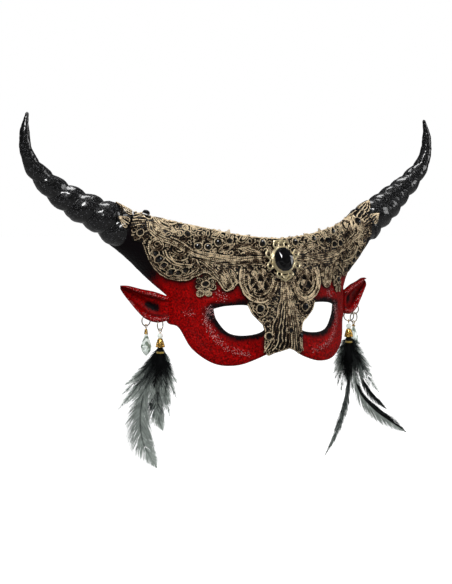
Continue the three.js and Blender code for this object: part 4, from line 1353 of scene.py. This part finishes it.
CAP_TOP, CAP_HEIGHT, FLUFF_TOP = -8.2, 6.4, -13.6
CAP_RADII, BELL_INSETS = (1.4, 3.5), (0.15, 0.5)
BEAD_RADIUS, BEAD_HOLE, BEAD_LEVEL = 2.2, 0.7, -5.65
PIN_STEM = 2 * BEAD_RADIUS + CAP_HEIGHT * 0.6
WRAP_RADIUS, WRAP_WIRE, WRAP_TURNS, WRAP_BELOW = 3.0, 0.28, 4, (4.7, 6)
LATHE_SIDES = 24


def cap_radius(down):
    """The radius of a cap at a share of its height below the top."""
    return lerp(*CAP_RADII, np.sqrt(down) * 0.75 + 0.25 * down)


def cap_surface(origin):
    """The bell of a filigree cap at a distance round it and a height below its top."""
    def surface(points):
        points = np.asarray(points, float)
        down = np.clip(points[:, 1] / CAP_HEIGHT, 0, 1)
        radius = cap_radius(down)
        angle = points[:, 0]
        level = CAP_TOP - points[:, 1]
        return origin + np.stack([radius * np.cos(angle), radius * np.sin(angle), level], 1)
    return surface


def cap_cord(pile, path, origin, radius=0.33, closed=False):
    surface = cap_surface(origin)
    line = surface(np.asarray(path, float))
    normal = line - origin
    normal[:, 2] = 0.4
    tube(pile, line, unit(normal), radius, closed, 6)


def cap_bell(pile, origin):
    """The thin wall behind the filigree, inside the thickness of the cap."""
    down = np.linspace(0.02, 1, 10)
    outer, inner = (np.stack([cap_radius(down) - inset, CAP_TOP - CAP_HEIGHT * down], 1)
                    for inset in BELL_INSETS)
    lathe(pile, np.concatenate([outer, inner[::-1]]), LATHE_SIDES, origin)


def filigree_cap(pile, origin):
    cap_bell(pile, origin)
    around = np.linspace(0, 2 * math.pi, 40, endpoint=False)
    for level, radius in ((0.1, 0.45), (2.6, 0.32), (6.2, 0.4)):
        cap_cord(pile, np.stack([around, 0 * around + level], 1), origin, radius, True)
    for k in range(8):
        middle = 2 * math.pi * k / 8
        turn = np.linspace(0, 2 * math.pi, 16, endpoint=False)
        petal = np.stack([middle + 0.3 * np.sin(turn), 4.4 + 1.7 * np.cos(turn)], 1)
        cap_cord(pile, petal, origin, 0.3, True)
        cap_cord(pile, np.stack([np.full(6, middle), np.linspace(0.2, 2.6, 6)], 1), origin, 0.34)


BARB_SHARE = np.linspace(0, 1, 7)


def barbs(rng, roots, ahead, side, share, barb, lean, loose):
    """The lines of a feather's barbs, longest about its middle and curling towards its tip."""
    count = len(roots)
    angle = lean + rng.normal(0, 0.05 + 0.2 * loose, count)
    direction = unit(side * np.cos(angle)[:, None] + ahead * np.sin(angle)[:, None]
                     + loose * 0.35 * rng.standard_normal((count, 3)))
    length = barb * (0.03 + 0.97 * np.sin(math.pi * share ** 0.7)) * rng.uniform(0.8, 1.1, count)
    curl = loose * 0.25 * rng.standard_normal((count, 1, 3)) + ahead[:, None] * 0.4
    u = BARB_SHARE[:, None]
    return roots[:, None] + (direction[:, None] * u + curl * u ** 2) * length[:, None, None]


def plume(pile, rng, shaft, barb, count, lean, width, loose, tints, start=0.06):
    """A feather along a shaft line; tints are for its root, its tip and what its second side adds."""
    shaft = resampled(shaft, 0.5)
    face = unit(np.array([0.15 * rng.standard_normal(), -1.0, 0.15 * rng.standard_normal()]))
    share = np.sort(rng.uniform(start, 1, count))
    index = (share * (len(shaft) - 1)).astype(int)
    way = np.where(np.arange(count) % 2 == 0, 1.0, -1.0)
    ahead = unit(np.gradient(shaft, axis=0))[index]
    side = unit(np.cross(ahead, face)) * way[:, None]
    lines = barbs(rng, shaft[index], ahead, side, share, barb, lean, loose)
    thickness = width * (1 - 0.85 * BARB_SHARE) * np.ones((count, 1))
    root, tip, second = tints
    tint = lerp(root, tip, share[:, None] ** 1.3 * (0.45 + 0.55 * BARB_SHARE))
    tint = tint + rng.normal(0, 0.05, (count, 1)) + second * (way > 0)[:, None]
    strands(pile, lines, np.broadcast_to(ahead[:, None], lines.shape), thickness, 0.3, tint)
    fade = np.linspace(1, 0.2, len(shaft))[None]
    wide = np.broadcast_to(np.array([1.0, 0.2, 0]), (1, len(shaft), 3))
    strands(pile, shaft[None], wide, 0.3 * fade, 1.0, root * 0.2 + 0.1 + 0 * fade)


def bent(root, tip, bow, depth=0.0):
    """A bowed line in the tassel's plane, from a root to a tip given as across and down."""
    root, tip = np.array(root, float), np.array(tip, float)
    across = unit(np.array([root[1] - tip[1], tip[0] - root[0]]))
    middle = (root + tip) / 2 + across * bow
    t = np.linspace(0, 1, 24)[:, None]
    flat = (1 - t) ** 2 * root + 2 * t * (1 - t) * middle + t ** 2 * tip
    return np.stack([flat[:, 0], depth * t[:, 0], flat[:, 1]], 1)


def down_shaft(rng, across, below, stray):
    """A plume's shaft, from the foot of the cap to a point that may stray, hanging before it spreads."""
    root = (rng.uniform(-1.3, 1.3), FLUFF_TOP - 0.5)
    tip = (across + rng.normal(0, 1), below + rng.normal(0, 1.5)) if stray else (across, below)
    return bent(root, tip, -0.22 * across + rng.normal(0, 0.8), rng.normal(0, 3))


def down(rng, core, wisps):
    """The loose plumes under a cap: a black core and paler, thinner wisps that stand out from it."""
    pile = Pile()
    for across, below in np.repeat(core, 2, axis=0):
        reach = math.hypot(across, below - FLUFF_TOP)
        shaft = down_shaft(rng, across, below, True)
        plume(pile, rng, shaft, 3.4 + 0.1 * reach, int(60 + 2 * reach), 1.0, 0.2, 0.5, (0.0, 0.22, 0))
    for across, below in wisps:
        reach = math.hypot(across, below - FLUFF_TOP)
        shaft = down_shaft(rng, across, below, False)
        plume(pile, rng, shaft, 3.5 + 0.09 * reach, int(40 + 2.6 * reach), 1.05, 0.18, 0.3, (0.05, 1.8, 0))
    return pile


LEFT_CORE = [(-11, -36), (-6, -42), (0, -44), (5, -46), (8, -38), (3, -36), (-3, -34), (6, -28),
             (-8, -28), (9, -44), (-2, -48), (-13, -40)]
LEFT_WISPS = [(-34, -65), (-29, -45), (-31, -53), (-25, -42), (-27, -60), (-22, -50), (-17, -56),
              (-18, -68), (13.6, -44), (12.7, -56.6), (10, -38), (11, -50), (0.7, -81), (-3.3, -78),
              (7.4, -70.8), (3, -75), (-1, -72), (5, -66), (8, -62), (-9, -60), (8, -26), (-12, -50),
              (-6, -56), (2, -58), (7, -58), (-14, -58), (-24, -66), (-21, -42), (-30, -60)]
RIGHT_CORE = [(-10, -38), (-8, -46), (-3, -50), (2, -51), (7, -50), (11, -44), (11, -36), (8, -28),
              (-7, -30), (5, -42), (-2, -40), (4, -32), (14, -50), (0, -56)]
RIGHT_WISPS = [(-13, -38), (-13, -46), (-10, -57), (-6, -62), (-10, -29), (9.5, -21), (13, -29),
               (15.5, -37), (20, -41), (21, -50), (18, -57), (11, -60), (5, -64), (0, -66), (-6, -21),
               (17, -46), (-12, -51), (26, -62)]


def in_tassel_plane(pile, origin):
    pile.points = [placed(block, origin, TASSEL_PLANE) for block in pile.points]
    return pile


def bead_pile(origin):
    """A round bead with a hole down its middle."""
    angle = np.linspace(math.radians(-72), math.radians(72), 15)
    outer = [(BEAD_RADIUS * math.cos(a), BEAD_RADIUS * math.sin(a)) for a in angle]
    pile = Pile()
    profile = [*outer, (BEAD_HOLE, outer[-1][1]), (BEAD_HOLE, outer[0][1])]
    lathe(pile, profile, LATHE_SIDES, origin + [0, 0, BEAD_LEVEL])
    return pile


def fluff_pile(rng, origin, core, wisps, blades):
    """The bundle of plumes, on a dark neck that fills its middle."""
    pile = down(rng, core, wisps)
    neck = [(0.05, 0.2), (2.0, 0), (2.2, -7.5), (3.4, -14), (3.0, -22), (0.05, -30)]
    lathe(pile, neck[::-1], LATHE_SIDES, np.array([0, 0, FLUFF_TOP]))
    for blade in blades:
        blade_plume(pile, rng, *blade)
    return in_tassel_plane(pile, origin)


def blade_plume(pile, rng, line, barb, lean, count, tints):
    """One long feather along a line given as across and down."""
    flat = smooth_line(line, 40)
    shaft = np.stack([flat[:, 0], 0 * flat[:, 0], flat[:, 1]], 1)
    plume(pile, rng, shaft, barb, count, lean, 0.3, 0.05, tints, start=0.02)


def hang_tassel(side, origin, yaw, seed, looks):
    """An eye pin through a bead and a filigree cap, with bound down and long feathers under it."""
    body = f"tassel_{side}"
    pin, cap, wrap = Pile(), Pile(), Pile()
    eyelet(pin, origin, yaw, PIN_STEM)
    make_piece(f"looped_eye_pin_{side}", pin, [looks["gold"]], body, [f"eye_pin_{side}"])
    bead = bead_pile(origin)
    make_piece(f"round_bead_{side}", bead, [looks["bead"]], body, [f"clear_bead_{side}"])
    filigree_cap(cap, origin)
    make_piece(f"filigree_cap_{side}", cap, [looks["gold"]], body, [f"bead_cap_{side}"])
    top, foot = (FLUFF_TOP - below for below in WRAP_BELOW)
    tube(wrap, coil(WRAP_RADIUS, WRAP_RADIUS, top, foot, WRAP_TURNS) + origin, (0, 0, 1), WRAP_WIRE)
    make_piece(f"wound_thread_{side}", wrap, [looks["thread"]], body, [f"thread_wrap_{side}"])
    rng = np.random.default_rng(seed)
    core, wisps, loose_blades, blades = TASSELS[side]
    fluff = fluff_pile(rng, origin, core, wisps, loose_blades)
    make_piece(f"downy_plumes_{side}", fluff, [looks["feather"]], body, [f"feather_fluff_{side}"])
    for name, blade in blades.items():
        pile = Pile()
        blade_plume(pile, rng, *blade)
        pile = in_tassel_plane(pile, origin)
        make_piece(f"vane_of_{name}", pile, [looks["feather"]], body, [name])


# Each long feather: its line, the reach, lean and number of its barbs, and its tints.
BROAD = ([(-8, -42), (-13.4, -54), (-16.2, -72), (-13.6, -92), (-3, -112)], 16, 0.85, 620, (0.7, 1.05, 0))
TRAILING = ([(-3, -38), (-4, -55), (-3, -68), (2, -82)], 11, 0.95, 300, (0.15, 1.5, 0))
NARROW = ([(1, -46), (-0.9, -64), (-4, -78), (-11, -99), (-20, -117)], 8, 1.2, 420, (0.5, 0.75, 0))
SIDEWAYS = ([(4, -46), (10, -63), (22, -77), (36, -87.5), (49.5, -96.5)], 13, 1.15, 420, (0.15, 0.25, 0.6))
SHORT = ([(9, -44), (13, -54), (20, -65), (33, -77)], 7, 1.2, 220, (0.05, 0.35, 0.15))
TASSELS = {"left": (LEFT_CORE, LEFT_WISPS, [TRAILING], {"feather_broad_left": BROAD}),
           "right": (RIGHT_CORE, RIGHT_WISPS, [SHORT],
                     {"feather_narrow_right": NARROW, "feather_side_right": SIDEWAYS})}


def build_earrings(looks):
    drop = np.array([0, 0, -LINK_DROP])
    tops = {place: hole_point(place) for place in HOLES}
    tops["link_right"] = tops["outer_right"] + drop
    for place, yaw in YAW.items():
        kind, side = place.split("_")
        hang_ring(f"ring_{place}", f"{kind}_ring_{side}", tops[place], yaw, looks["wire"])
    for place, stem, cone in (("outer_left", 2, 4), ("link_right", 0.8, 1.6)):
        side = place.split("_")[1]
        hang_crystal(side, tops[place] + drop, YAW[place], stem, cone, looks["crystal"], looks["gold"])
    for side, seed in (("left", 21), ("right", 22)):
        place = f"inner_{side}"
        hang_tassel(side, tops[place] + drop, YAW[place], seed, looks)


# ---- camera, light and floor ----------------------------------------------------------------------------

CAMERA_PLACE = (-0.6122, -1.0966, 0.1009)
CAMERA_AZIMUTH, CAMERA_ELEVATION = math.radians(-27), math.radians(4.1)
SENSOR, LENS = 36, 97.8904
FLOOR_RADIUS, FLOOR_SIDES, FLOOR_DROP = 6, 64, 0.03
LIGHTS = {"key_light": ((-0.9, -1.1, 1.3), (0, 0, 0.03), 0.55, 24),
          "fill_light": ((1.4, -0.7, 0.5), (0, 0, 0.03), 0.8, 7),
          "top_light": ((0.1, 0.5, 1.5), (0, 0, 0.05), 0.8, 14)}


def build_camera():
    data = bpy.data.cameras.new("camera")
    data.sensor_width = SENSOR
    data.sensor_fit = "AUTO"
    data.lens = LENS
    camera = add_to_scene("camera", data)
    camera.location = CAMERA_PLACE
    camera.rotation_euler = (math.pi / 2 - CAMERA_ELEVATION, 0, CAMERA_AZIMUTH)
    bpy.context.scene.camera = camera


def area_light(name, place, aim, size, power):
    """A round lamp at a place, facing an aim."""
    data = bpy.data.lights.new(name, "AREA")
    data.shape = "DISK"
    data.size = size
    data.energy = power
    light = add_to_scene(name, data)
    light.location = place
    light.rotation_euler = (Vector(aim) - Vector(place)).to_track_quat("-Z", "Y").to_euler()


def build_floor(level):
    """A plain pale floor that the camera sees as white."""
    mesh = bpy.data.meshes.new("floor")
    angle = np.linspace(0, 2 * math.pi, FLOOR_SIDES, endpoint=False)
    rim = [(FLOOR_RADIUS * math.cos(a), FLOOR_RADIUS * math.sin(a), level) for a in angle]
    mesh.from_pydata(rim, [], [list(range(FLOOR_SIDES))])
    floor = add_to_scene("floor", mesh)
    pale = Finish("pale_floor", Roughness=1.0, Specular_IOR_Level=0.0)
    pale.set("Base Color", (0.3, 0.3, 0.3, 1))
    pale.set("Emission Color", (1.0, 1.0, 1.0, 1))
    pale.set("Emission Strength", pale.node("ShaderNodeLightPath").outputs["Is Camera Ray"])
    mesh.materials.append(pale.material)


def build_world():
    """A white backdrop for the camera, and only a dim white light on the mask."""
    world = bpy.data.worlds.new("studio")
    world.use_nodes = True
    bpy.context.scene.world = world
    tree = world.node_tree
    lit, seen = tree.nodes["Background"], tree.nodes.new("ShaderNodeBackground")
    lit.inputs["Strength"].default_value = 0.07
    for backdrop in (lit, seen):
        backdrop.inputs["Color"].default_value = (1, 1, 1, 1)
    either = tree.nodes.new("ShaderNodeMixShader")
    tree.links.new(tree.nodes.new("ShaderNodeLightPath").outputs["Is Camera Ray"], either.inputs["Fac"])
    tree.links.new(lit.outputs["Background"], either.inputs[1])
    tree.links.new(seen.outputs["Background"], either.inputs[2])
    tree.links.new(either.outputs["Shader"], tree.nodes["World Output"].inputs["Surface"])


def main():
    """Light the studio, then make every material and every piece of the mask."""
    bpy.context.scene.view_settings.view_transform = "Standard"
    build_camera()
    build_floor(CAD_BOX[0][2] - FLOOR_DROP)
    build_world()
    for name, settings in LIGHTS.items():
        area_light(name, *settings)
    looks = {"wire": metal_finish("grey_gold_wire", (0.66, 0.58, 0.44), (0.3, 0.25, 0.18), 0.22),
             "gold": metal_finish("bright_gold", (0.96, 0.66, 0.2), (0.5, 0.27, 0.05), 0.2),
             "crystal": crystal_finish("pale_green_crystal", (0.2, 0.25, 0.2)),
             "bead": crystal_finish("clear_pink_bead", (0.95, 0.78, 0.76)),
             "thread": thread_finish(), "feather": feather_finish()}
    pale_gold = metal_finish("pale_antique_gold", (0.85, 0.73, 0.47), (0.03, 0.018, 0.008), 0.28, relief=True)
    jet, shell, lace = jet_finish(), shell_finish(), lace_finish()
    build_shell([shell, lining_finish()])
    build_lace(lace)
    build_horns_and_ears(horn_finish(), shell)
    build_stones(jet)
    build_brooch(pale_gold, jet)
    build_earrings(looks)


main()
